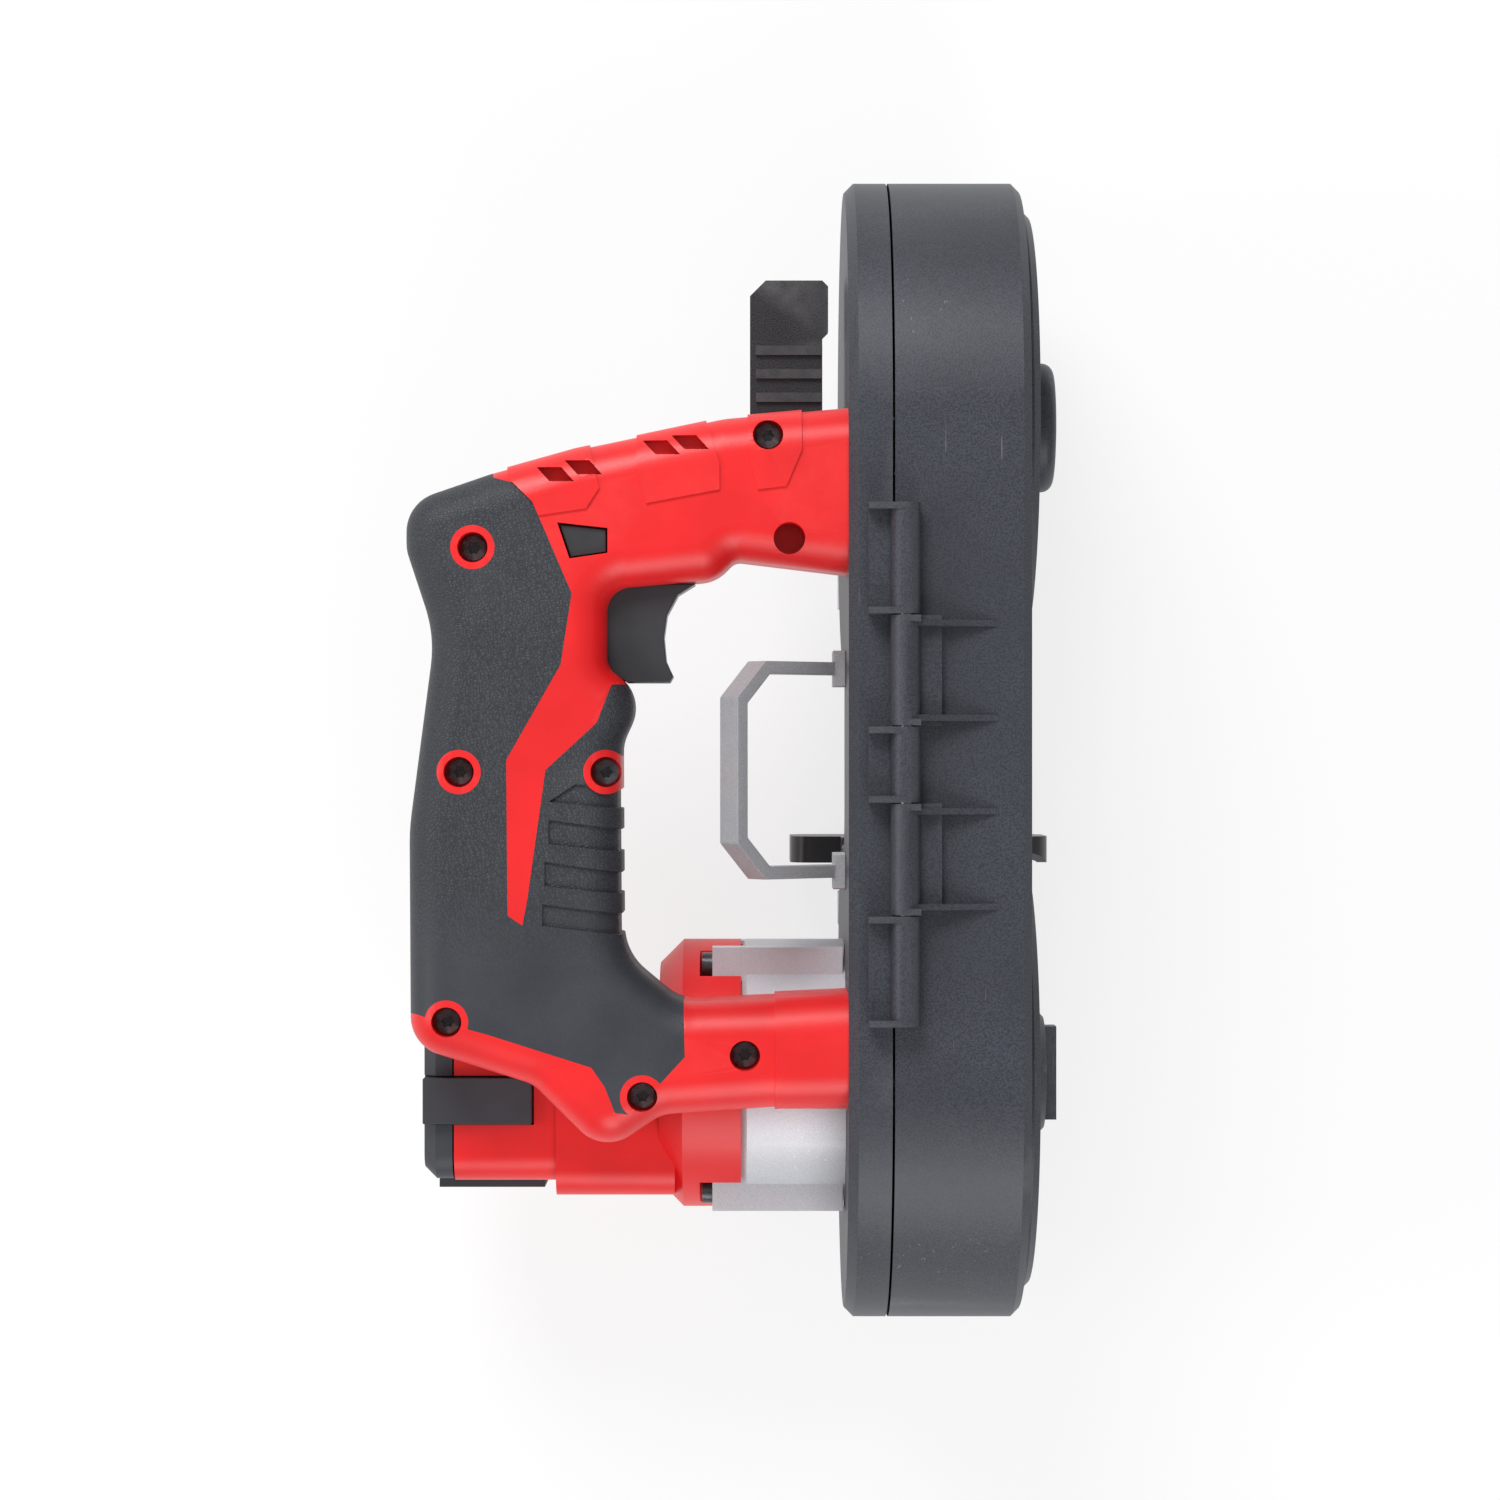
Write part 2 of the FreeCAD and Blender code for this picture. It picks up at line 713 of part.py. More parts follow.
def knuckle(owner, number, high, low, side):
    """Hinge knuckle with its web and end ribs; side -1 leans on the frame, 1 on the cover."""
    start = low + S.knuckle_gap / 2
    width = high - low - S.knuckle_gap
    name = f"{owner}_knuckle_{number}"
    barrel = cylinder(f"{name}_barrel", "y", hinge_x, start, hinge_z, S.knuckle_radius, width)
    shapes = [barrel]
    web_start = hinge_x - S.frame_web_reach if side < 0 else hinge_x
    floor = top_height + S.knuckle_lift
    shapes.append(box(f"{name}_web", web_start, start, floor, S.frame_web_reach, width, S.web_thickness))
    foot_reach = parting - web_start if side < 0 else S.frame_web_reach - S.knuckle_radius
    foot_start = web_start if side < 0 else hinge_x + S.knuckle_radius
    shapes.append(box(f"{name}_foot", foot_start, start, top_height - S.web_thickness,
                      foot_reach, width, S.web_thickness + S.knuckle_lift + S.cam_gap))
    for end, place in enumerate((start, start + width - S.rib_thickness)):
        rib_reach = S.frame_web_reach if side < 0 else S.knuckle_radius
        rib_start = web_start if side < 0 else hinge_x
        shapes.append(box(f"{name}_rib_{end}", rib_start, place, floor, rib_reach, S.rib_thickness,
                          S.knuckle_radius * 2))
    return fuse(name, *shapes)


def make_cover():
    body = new_body("cover_shell")
    pad(body, "YZ_Plane", cover_start, S.cover_depth - S.cover_bevel, [guard_path(0)])
    bevel(body, "YZ_Plane", cover_face - S.cover_bevel, S.cover_bevel, guard_path(0),
          guard_path(S.cover_bevel))
    for place in (drive_y, idler_y):
        pad(body, "YZ_Plane", cover_face - S.cover_wall, S.cover_wall + S.plateau_height,
            [circle(place, axis_height, S.plateau_radius)])
    dress(body, "Chamfer", S.plateau_bevel, edge_at("x", cover_face + S.plateau_height))
    pocket(body, "YZ_Plane", cover_start - S.cut_overrun, S.cover_depth - S.cover_wall + S.cut_overrun,
           [guard_path(S.cover_wall)])
    pocket(body, "YZ_Plane", cover_face - S.cover_wall - S.cut_overrun,
           S.cover_wall + S.plateau_height + S.cut_overrun * 2,
           [circle(drive_y, axis_height, S.spindle_radius + S.pin_clearance)])
    hinges = [knuckle("cover", number, high, low, 1)
              for number, (high, low) in enumerate(((S.knuckle_two, S.knuckle_three),
                                                    (S.knuckle_four, S.knuckle_five)), start=1)]
    places = (S.knuckle_two - S.gusset_inset, S.knuckle_three + S.gusset_inset,
              S.knuckle_four - S.gusset_inset, S.knuckle_five + S.gusset_inset)
    gussets = [gusset(number, place) for number, place in enumerate(places, start=1)]
    whole = fuse("cover_solid", body, *hinges, *gussets)
    bore = cylinder("cover_pin_bore", "y", hinge_x, S.knuckle_five - S.cut_overrun, hinge_z,
                    S.hinge_pin_radius + S.pin_clearance,
                    S.knuckle_two - S.knuckle_five + S.cut_overrun * 2)
    slots = []
    for side in (-1, 1):
        near_end = guide_place - S.bracket_width
        for part, left, right, reach in (
                ("blade", blade_start - S.bracket_depth / 2, rim_end + S.bracket_depth, S.exit_length),
                ("bracket", cover_start - S.cut_overrun, blade_start, S.bracket_width * 2)):
            start = near_end if side > 0 else -near_end - reach
            slots.append(box(f"{part}_exit_{side + 2}", left, start, -S.cut_overrun, right - left, reach,
                             S.exit_height))
    return keep(cut("guard_cover", whole, bore, *slots))


def gusset(number, place):
    """Thin tapering rib from a cover knuckle out across the cover's top."""
    body = new_body(f"cover_gusset_{number}")
    foot = top_height - S.cover_wall / 2
    points = [(hinge_x, foot), (hinge_x + S.gusset_reach, foot),
              (hinge_x + S.gusset_reach, top_height), (hinge_x, hinge_z + S.knuckle_radius)]
    pad(body, "XZ_Plane", -place - S.gusset_thickness / 2, S.gusset_thickness, [plain_path(points)])
    return body


def make_caps():
    cap = new_body("idler_hub_cap")
    start = cover_face + S.plateau_height
    pad(cap, "YZ_Plane", start, S.cap_height, [circle(idler_y, axis_height, S.cap_radius)])
    dress(cap, "Fillet", S.cap_bevel, edge_at("x", start + S.cap_height))
    keep(cap)
    knob = new_body("cover_knob")
    gap = S.cam_gap
    pad(knob, "YZ_Plane", start + gap, S.knob_height, [circle(drive_y, axis_height, S.knob_radius)])
    dress(knob, "Chamfer", S.knob_bevel, edge_at("x", start + gap + S.knob_height))
    pad(knob, "YZ_Plane", start + gap, S.knob_height + S.knob_bar_height,
        [rectangle(drive_y, axis_height, S.knob_bar_length / 2, S.knob_bar_width / 2)])
    inside = cover_face - S.cover_wall - gap
    pad(knob, "YZ_Plane", inside - S.cam_thickness, start - inside + S.cam_thickness + gap * 2,
        [circle(drive_y, axis_height, S.spindle_radius)])
    pad(knob, "YZ_Plane", inside - S.cam_thickness, S.cam_thickness,
        [rectangle(drive_y, axis_height, S.cam_width / 2, S.cam_length / 2)])
    keep(knob)
    pin_length = S.knuckle_one - S.knuckle_six
    keep(cylinder("hinge_pin", "y", hinge_x, S.knuckle_six, hinge_z, S.hinge_pin_radius, pin_length))


# Wheels, shafts and blade
def make_wheel(name, place, bore):
    body = new_body(name)
    rim = S.tyre_radius - S.tyre_thickness
    pad(body, "YZ_Plane", rim_start, S.wheel_width,
        [circle(place, axis_height, rim), circle(place, axis_height, rim - S.wheel_rim)])
    web_start = rim_start + S.wheel_width / 2 - S.wheel_web / 2
    holes = []
    for index in range(SPOKE_HOLES):
        angle = 2 * math.pi * index / SPOKE_HOLES
        holes.append(circle(place + S.spoke_hole_circle * math.cos(angle),
                            axis_height + S.spoke_hole_circle * math.sin(angle), S.spoke_hole_radius))
    pad(body, "YZ_Plane", web_start, S.wheel_web,
        [circle(place, axis_height, rim - S.wheel_rim / 2)] + holes)
    hub_start = rim_start - S.hub_back
    pad(body, "YZ_Plane", hub_start, S.wheel_width + S.hub_back + S.hub_front,
        [circle(place, axis_height, S.hub_radius)])
    pocket(body, "YZ_Plane", hub_start - S.cut_overrun,
           S.wheel_width + S.hub_back + S.hub_front + S.cut_overrun * 2,
           [circle(place, axis_height, bore)])
    keep(body)
    return keep(tube(name.replace("wheel", "tyre"), rim_start, S.wheel_width, place, axis_height,
                     S.tyre_radius, rim))


def make_wheels():
    make_wheel("drive_wheel", drive_y, S.shaft_radius)
    bearing_bore = S.shaft_radius + S.hub_back
    make_wheel("idler_wheel", idler_y, bearing_bore)
    hub_start = rim_start - S.hub_back
    hub_length = S.wheel_width + S.hub_back + S.hub_front
    keep(tube("idler_bearing", hub_start, hub_length, idler_y, axis_height, bearing_bore,
              S.shaft_radius + S.pin_clearance))
    for name, place, gap in (("drive_wheel_bolt", drive_y, 0), ("idler_wheel_bolt", idler_y, S.cam_gap)):
        bolt = new_body(name)
        start = hub_start + hub_length + gap
        pad(bolt, "YZ_Plane", start, S.bolt_height, [circle(place, axis_height, S.bolt_radius)])
        keep(bolt)


def make_blade():
    """Flat band round both wheels; its work run is twisted and toothed."""
    band = new_body("blade_band")

    def stadium(radius):
        half = float(S.wheel_span / 2)
        high = float(axis_height + radius)
        low = float(axis_height - radius)
        middle = float(axis_height)
        reach = half + float(radius)
        return [Part.LineSegment(vector(-half, high), vector(half, high)),
                Part.Arc(vector(half, high), vector(reach, middle), vector(half, low)),
                Part.LineSegment(vector(half, low), vector(-half, low)),
                Part.Arc(vector(-half, low), vector(-reach, middle), vector(-half, high))]

    flat_place = S.wheel_span / 2 - S.twist_start
    pad(band, "YZ_Plane", blade_start, S.blade_width, [stadium(blade_outer), stadium(blade_inner)])
    pocket(band, "YZ_Plane", blade_start - S.cut_overrun, S.blade_width + S.cut_overrun * 2,
           [rectangle(0, axis_height - blade_inner, flat_place, S.blade_thickness * 2)])
    middle_x = blade_start + S.blade_width / 2
    middle_z = axis_height - blade_inner - S.blade_thickness / 2

    def section(y, turn):
        """Band section at y, turned about the run's centre line."""
        points = []
        for across, through in ((-0.5, -0.5), (0.5, -0.5), (0.5, 0.5), (-0.5, 0.5)):
            point = FreeCAD.Vector(float(S.blade_width) * across, 0, float(S.blade_thickness) * through)
            point = FreeCAD.Rotation(FreeCAD.Vector(0, 1, 0), turn).multVec(point)
            points.append(point + FreeCAD.Vector(float(middle_x), float(y), float(middle_z)))
        return Part.makePolygon(points + points[:1])

    straight = flat_place - S.twist_span
    runs = [band.Shape]
    half_twist = WORK_TWIST / 2
    middle_y = straight + S.twist_span / 2
    for side in (-1, 1):
        wires = [section(side * straight, WORK_TWIST), section(side * middle_y, half_twist),
                 section(side * flat_place, 0)]
        for first, second in zip(wires, wires[1:]):
            runs.append(Part.makeLoft([first, second], True, True))
    count = int(float(straight * 2) / float(S.tooth_pitch))
    pitch = float(straight * 2) / count
    half_width = float(S.blade_width / 2)
    outline = [FreeCAD.Vector(-half_width, -float(straight), 0)]
    for index in range(count):
        start = -float(straight) + index * pitch
        outline.append(FreeCAD.Vector(half_width, start, 0))
        gullet = start + pitch * TOOTH_BACK_SHARE
        outline.append(FreeCAD.Vector(half_width - float(S.tooth_depth), gullet, 0))
    outline.append(FreeCAD.Vector(half_width, float(straight), 0))
    outline.append(FreeCAD.Vector(-half_width, float(straight), 0))
    work = Part.Face(Part.makePolygon(outline + outline[:1]))
    work = work.extrude(FreeCAD.Vector(0, 0, float(S.blade_thickness)))
    work.translate(FreeCAD.Vector(0, 0, -float(S.blade_thickness) / 2))
    work.rotate(ORIGIN, FreeCAD.Vector(0, 1, 0), WORK_TWIST)
    work.translate(FreeCAD.Vector(float(middle_x), 0, float(middle_z)))
    blade = doc.addObject("Part::Feature", "saw_blade")
    blade.Label = "saw_blade"
    blade.Shape = runs[0].multiFuse(runs[1:] + [work]).removeSplitter()
    return keep(blade)


# Gears
def gear_path(y, z, teeth, turn):
    """Involute spur gear outline about (y, z), turned by an angle in degrees."""
    module = float(S.gear_module)
    pitch_radius = module * teeth / 2
    base_radius = pitch_radius * math.cos(math.radians(GEAR_PRESSURE_ANGLE))
    tip_radius = pitch_radius + module * ADDENDUM_SHARE
    root_radius = pitch_radius - module * DEDENDUM_SHARE
    half_tooth = math.pi / (2 * teeth) - float(S.gear_backlash) / (2 * pitch_radius)

    def spread(radius):
        """Involute angle at a radius, measured from the base circle."""
        ratio = min(1.0, base_radius / radius)
        roll = math.acos(ratio)
        return math.tan(roll) - roll

    def point(radius, angle):
        full = angle + math.radians(turn)
        return vector(float(y) + radius * math.cos(full), float(z) + radius * math.sin(full))

    half_base = half_tooth + spread(pitch_radius)
    flank_start = max(base_radius, root_radius)
    edges = []
    for tooth in range(teeth):
        centre = 2 * math.pi * tooth / teeth
        following = centre + 2 * math.pi / teeth

        def flank(radius, side):
            return point(radius, centre + side * (half_base - spread(radius)))

        middle = (flank_start + tip_radius) / 2
        low_left, low_right = flank(flank_start, -1), flank(flank_start, 1)
        tip_left, tip_right = flank(tip_radius, -1), flank(tip_radius, 1)
        root_left = point(root_radius, centre - half_base)
        root_right = point(root_radius, centre + half_base)
        next_root = point(root_radius, following - half_base)
        if flank_start > root_radius:
            edges.append(Part.LineSegment(root_left, low_left))
        edges.append(Part.Arc(low_left, flank(middle, -1), tip_left))
        edges.append(Part.LineSegment(tip_left, tip_right))
        edges.append(Part.Arc(tip_right, flank(middle, 1), low_right))
        if flank_start > root_radius:
            edges.append(Part.LineSegment(low_right, root_right))
        edges.append(Part.LineSegment(root_right, next_root))
    return edges


def make_gears():
    """Reverted train: motor pinion to layshaft gear, layshaft pinion to output gear."""
    first_start = case_start + S.case_end + S.gear_gap
    second_start = first_start + S.pinion_face + S.gear_gap
    gear_inset = (S.pinion_face - S.gear_face) / 2
    half_tooth_turn = 180.0 / GEAR_TEETH
    rotor = new_body("motor_rotor")
    shaft_start = collar_start - S.bulkhead / 2
    pad(rotor, "YZ_Plane", shaft_start, first_start - shaft_start,
        [circle(drive_y, axis_height, S.motor_shaft_radius)])
    pad(rotor, "YZ_Plane", first_start - S.gear_gap, S.pinion_face + S.gear_gap,
        [gear_path(drive_y, axis_height, PINION_TEETH, -90.0)])
    pad(rotor, "YZ_Plane", collar_start + S.stator_inset, S.stator_length,
        [circle(drive_y, axis_height, S.stator_bore - S.air_gap)])
    keep(rotor)
    lay = new_body("layshaft")
    lay_start = case_start + S.case_end - S.layshaft_seat
    pad(lay, "YZ_Plane", lay_start, S.frame_back + S.layshaft_seat - lay_start,
        [circle(drive_y, layshaft_z, S.layshaft_radius)])
    pad(lay, "YZ_Plane", second_start, S.pinion_face,
        [gear_path(drive_y, layshaft_z, PINION_TEETH, 90.0)])
    keep(lay)
    lay_gear = new_body("layshaft_gear")
    pad(lay_gear, "YZ_Plane", first_start + gear_inset, S.gear_face,
        [gear_path(drive_y, layshaft_z, GEAR_TEETH, 90.0 + half_tooth_turn),
         circle(drive_y, layshaft_z, S.layshaft_radius)])
    keep(lay_gear)
    output = new_body("output_gear")
    pad(output, "YZ_Plane", second_start + gear_inset, S.gear_face,
        [gear_path(drive_y, axis_height, GEAR_TEETH, -90.0 + half_tooth_turn),
         circle(drive_y, axis_height, S.shaft_radius)])
    keep(output)
    shaft = new_body("drive_shaft")
    hub_end = rim_end + S.hub_front
    pad(shaft, "YZ_Plane", second_start + S.gear_gap / 2, hub_end - second_start - S.gear_gap / 2,
        [circle(drive_y, axis_height, S.shaft_radius)])
    keep(shaft)
    keep(tube("drive_bearing", S.frame_back, S.bearing_width, drive_y, axis_height, S.bearing_radius,
              S.shaft_radius + S.pin_clearance))
    keep(tube("motor_bearing", case_start, S.case_end, drive_y, axis_height, S.motor_bearing_radius,
              S.motor_shaft_radius + S.pin_clearance))
    keep(tube("rear_motor_bearing", collar_start - S.bulkhead / 2, S.bulkhead / 2, drive_y, axis_height,
              S.motor_bearing_radius, S.motor_shaft_radius + S.pin_clearance))
    keep(tube("motor_stator", collar_start + S.stator_inset, S.stator_length, drive_y, axis_height,
              S.stator_radius, S.stator_bore))


def make_gear_case():
    body = new_body("gear_case")
    pad(body, "YZ_Plane", case_start, S.case_length, [circle(drive_y, axis_height, S.case_radius)])
    dress(body, "Chamfer", S.case_bevel, edge_at("x", case_start))
    pocket(body, "YZ_Plane", case_start + S.case_end, S.case_length - S.case_end + S.cut_overrun,
           [circle(drive_y, axis_height, S.case_radius - S.case_wall)])
    pocket(body, "YZ_Plane", case_start - S.cut_overrun, S.case_end + S.cut_overrun * 2,
           [circle(drive_y, axis_height, S.motor_bearing_radius)])
    pocket(body, "YZ_Plane", case_start + S.case_end - S.layshaft_seat, S.layshaft_seat + S.cut_overrun,
           [circle(drive_y, layshaft_z, S.layshaft_radius + S.pin_clearance)])
    for _, up, across in case_corners():
        pad(body, "YZ_Plane", case_start - S.ear_reach, S.ear_reach + S.case_length - S.parting_gap,
            [rectangle(*ear_middle(up, across))])
        y, z = ear_middle(up, across)[:2]
        pocket(body, "YZ_Plane", case_start - S.ear_reach - S.cut_overrun, S.fixing_length + S.cut_overrun,
               [circle(y, z, S.screw_shank_radius + S.pin_clearance)])
    return keep(body)


def case_corners():
    """Name and signs of the four ears that bolt the gear case to the motor housing."""
    return (("near_low", 1, -1), ("near_high", 1, 1), ("far_low", -1, -1), ("far_high", -1, 1))


def ear_middle(up, across, gap=0):
    """Centre and half sizes of an ear's section, widened by gap."""
    y = drive_y + across * (S.case_radius - S.ear_inset - S.ear_width / 2)
    z = axis_height + up * (S.ear_rise - S.ear_width / 2)
    return y, z, S.ear_width / 2 + gap, S.ear_width / 2 + gap


def make_housing():
    """Red motor collar that steps down to the battery socket."""
    body = new_body("motor_housing")
    pad(body, "YZ_Plane", collar_start, S.collar_length, [circle(drive_y, axis_height, S.case_radius)])
    dress(body, "Chamfer", S.collar_bevel, edge_at("x", collar_start))
    socket_start = collar_start - S.socket_length
    mouth_start = socket_start - S.mouth_length
    pad(body, "YZ_Plane", socket_start, S.socket_length + S.bulkhead,
        [rectangle(socket_y, axis_height, S.socket_half_width, S.socket_half_height, S.socket_round)])
    pad(body, "YZ_Plane", mouth_start, S.mouth_length + S.bulkhead,
        [rectangle(socket_y, axis_height, S.mouth_half_width, S.mouth_half_height, S.socket_round)])
    pocket(body, "YZ_Plane", collar_start, S.collar_length + S.cut_overrun,
           [circle(drive_y, axis_height, S.stator_radius)])
    pocket(body, "YZ_Plane", collar_start - S.bulkhead / 2, S.bulkhead,
           [circle(drive_y, axis_height, S.motor_bearing_radius)])
    half_width = S.mouth_half_width - S.socket_wall
    half_height = S.mouth_half_height - S.socket_wall
    pocket(body, "YZ_Plane", mouth_start - S.cut_overrun,
           S.mouth_length + S.socket_length - S.bulkhead + S.cut_overrun,
           [rectangle(socket_y, axis_height, half_width, half_height, S.socket_round - S.socket_wall)])
    for _, up, across in case_corners():
        pocket(body, "YZ_Plane", case_start - S.ear_reach - S.ear_screw_room,
               S.ear_reach + S.ear_screw_room + S.cut_overrun,
               [rectangle(*ear_middle(up, across, S.ear_gap))])
    notch_half = S.latch_width / 2 + S.latch_gap
    pocket(body, "YZ_Plane", mouth_start - S.cut_overrun,
           S.latch_length - S.battery_cap_length + S.latch_gap + S.cut_overrun,
           [rectangle(socket_y, axis_height, notch_half, S.mouth_half_height + S.cut_overrun)])
    return keep(body)


def make_battery():
    mouth_start = collar_start - S.socket_length - S.mouth_length
    half_width = S.mouth_half_width - S.socket_wall - S.battery_gap
    half_height = S.mouth_half_height - S.socket_wall - S.battery_gap
    pack = new_body("battery_pack")
    end = collar_start - S.bulkhead - S.contact_depth - S.battery_gap
    cap_start = mouth_start - S.battery_cap_length
    pad(pack, "YZ_Plane", mouth_start - S.battery_gap, end - mouth_start + S.battery_gap,
        [rectangle(socket_y, axis_height, half_width, half_height, S.socket_round - S.socket_wall)])
    latch_floor = half_height - S.latch_travel
    for side in (-1, 1):
        pocket(pack, "YZ_Plane", mouth_start - S.cut_overrun,
               S.latch_length - S.battery_cap_length + S.latch_gap + S.cut_overrun,
               [rectangle(socket_y, axis_height + side * (latch_floor + S.latch_depth),
                          S.latch_width / 2 + S.latch_gap, S.latch_depth)])
    keep(pack)
    cap = new_body("battery_cap")
    pad(cap, "YZ_Plane", cap_start, S.battery_cap_length - S.battery_gap,
        [rectangle(socket_y, axis_height, S.mouth_half_width - S.battery_gap, S.mouth_half_height,
                   S.socket_round)])
    dress(cap, "Chamfer", S.battery_cap_bevel, edge_at("x", cap_start))
    skirt_y = socket_y - S.mouth_half_width - S.latch_gap - S.skirt_thickness / 2
    pad(cap, "YZ_Plane", cap_start + S.battery_cap_bevel, S.skirt_length,
        [rectangle(skirt_y, axis_height, S.skirt_thickness / 2, S.skirt_half)])
    bridge_y = skirt_y + S.latch_gap + S.skirt_thickness / 2
    bridge_length = S.battery_cap_length - S.battery_cap_bevel - S.latch_gap
    pad(cap, "YZ_Plane", cap_start + S.battery_cap_bevel, bridge_length,
        [rectangle(bridge_y, axis_height, S.latch_gap + S.skirt_thickness, S.skirt_half)])
    for side in (-1, 1):
        pocket(cap, "YZ_Plane", cap_start - S.cut_overrun, S.battery_cap_length + S.cut_overrun,
               [rectangle(socket_y, axis_height + side * (latch_floor + S.latch_height + S.latch_depth),
                          S.latch_width / 2 + S.latch_gap, S.latch_height + S.latch_depth)])
    keep(cap)
    for name, side in (("near_latch", 1), ("far_latch", -1)):
        low = axis_height + side * (half_height + S.latch_gap)
        start = low if side > 0 else low - S.latch_depth - S.latch_height
        keep(box(name, cap_start, socket_y - S.latch_width / 2, start, S.latch_length, S.latch_width,
                 S.latch_depth + S.latch_height))
    keep(box("contact_block", collar_start - S.bulkhead - S.contact_depth, socket_y - S.contact_width / 2,
             axis_height - S.contact_height / 2, S.contact_depth, S.contact_width, S.contact_height))


# Handle
def handle_point(reach_share, top_share):
    return S.frame_back - S.handle_reach * reach_share, S.handle_top * top_share


def inset_points(points, inset):
    """Move each edge of a counter-clockwise or clockwise outline inwards by inset."""
    area = sum(points[i - 1][0] * points[i][1] - points[i][0] * points[i - 1][1]
               for i in range(len(points)))
    side = 1 if area > 0 else -1
    moved = []
    for index, (u, v, corner) in enumerate(points):
        before = vector(*points[index - 1][:2])
        here = vector(u, v)
        after = vector(*points[(index + 1) % len(points)][:2])
        one = here - before
        two = after - here
        one.normalize()
        two.normalize()
        normal = FreeCAD.Vector(-one.y - two.y, one.x + two.x, 0) * side
        scale = inset / (1 + one.dot(two))
        place = here + normal * scale
        turn = (one.x * two.y - one.y * two.x) * side
        moved.append((place.x, place.y, 0 if float(corner) == 0 else
                      max(float(corner) - inset if turn > 0 else float(corner) + inset, 0)))
    return moved


def handle_points():
    points = []
    for reach, top, corner in handle_outline_shares:
        x, y = handle_point(reach, top)
        points.append((float(x), float(y), float(S.handle_reach) * corner))
    return points


def handle_form(name, side, inset):
    """One half drawn in by inset, or out where it is negative, with its rounded rim."""
    body = new_body(name)
    thickness = S.half_thickness - inset
    start = parting_height if side > 0 else parting_height - thickness
    pad(body, "XY_Plane", start, thickness, [rounded_path(inset_points(handle_points(), inset))])
    at_rim = edge_at("z", start + thickness if side > 0 else start)
    at_frame = edge_at("x", S.frame_back - inset)
    dress(body, "Fillet", S.handle_round - inset, lambda edge: at_rim(edge) and not at_frame(edge))
    return body


def share_prism(name, outlines):
    """Prisms through the whole handle over outlines given in handle shares."""
    body = new_body(name)
    loops = [plain_path([handle_point(reach, top) for reach, top in outline]) for outline in outlines]
    pad(body, "XY_Plane", far_face - S.cut_overrun, S.half_thickness * 2 + S.cut_overrun * 2, loops)
    return body


def grip_prism(name, side):
    body = new_body(f"{name}_prism")
    start = parting_height if side > 0 else far_face - S.cut_overrun
    points = [handle_point(reach, top) for reach, top in grip_border_shares]
    pad(body, "XY_Plane", start, S.half_thickness + S.cut_overrun, [plain_path(points)])
    bosses = []
    for reach, top in screw_place_shares[:GRIP_BOSSES]:
        x, y = handle_point(reach, top)
        bosses.append(circle(x, y, S.boss_radius))
    pocket(body, "XY_Plane", start - S.cut_overrun, S.half_thickness + S.cut_overrun * 3, bosses)
    return body


def make_handle():
    saddle = cylinder("gear_saddle", "x", collar_start - S.cut_overrun, drive_y, axis_height,
                      S.case_radius + S.saddle_gap, S.frame_back - collar_start + S.cut_overrun * 2)
    mouth_start = collar_start - S.socket_length - S.mouth_length
    socket_saddle = box("socket_saddle", mouth_start - S.battery_cap_length - S.battery_cap_length,
                        socket_y - S.socket_half_width - S.saddle_gap, axis_height,
                        S.mouth_length + S.socket_length + S.battery_cap_length * 3,
                        S.socket_half_width * 2 + S.saddle_gap * 2,
                        S.socket_half_height + S.saddle_gap + S.latch_height)
    bands = [share_prism(f"saddle_band_{number}", [outline])
             for number, outline in enumerate(saddle_band_shares, start=1)]
    grooves = share_prism("finger_grooves", finger_groove_shares[:1])
    grooves = fuse("finger_groove_set", grooves,
                   *[share_prism(f"finger_groove_{number}", [outline])
                     for number, outline in enumerate(finger_groove_shares[1:], start=2)])
    for name, side in (("near", 1), ("far", -1)):
        outer = handle_form(f"{name}_outer", side, 0)
        core = handle_form(f"{name}_core", side, S.grip_skin)
        proud = handle_form(f"{name}_proud", side, -S.band_height)
        groove_floor = handle_form(f"{name}_groove_floor", side, S.groove_depth)
        prism = grip_prism(name, side)
        grip = common(f"{name}_grip_blank", cut(f"{name}_skin", outer, core), prism)
        raised = [common(f"{name}_band_{number}", cut(f"{name}_band_blank_{number}", proud, prism), band)
                  for number, band in enumerate(bands, start=1)]
        shell = fuse(f"{name}_shell", cut(f"{name}_red", outer, grip), *raised)
        groove = cut(f"{name}_groove_tool", grooves, groove_floor)
        tools = fuse(f"{name}_tools", saddle, socket_saddle, *handle_tools(name, side))
        keep(cut(f"handle_{name}_half", shell, tools))
        keep(cut(f"grip_{name}", grip, groove, tools))


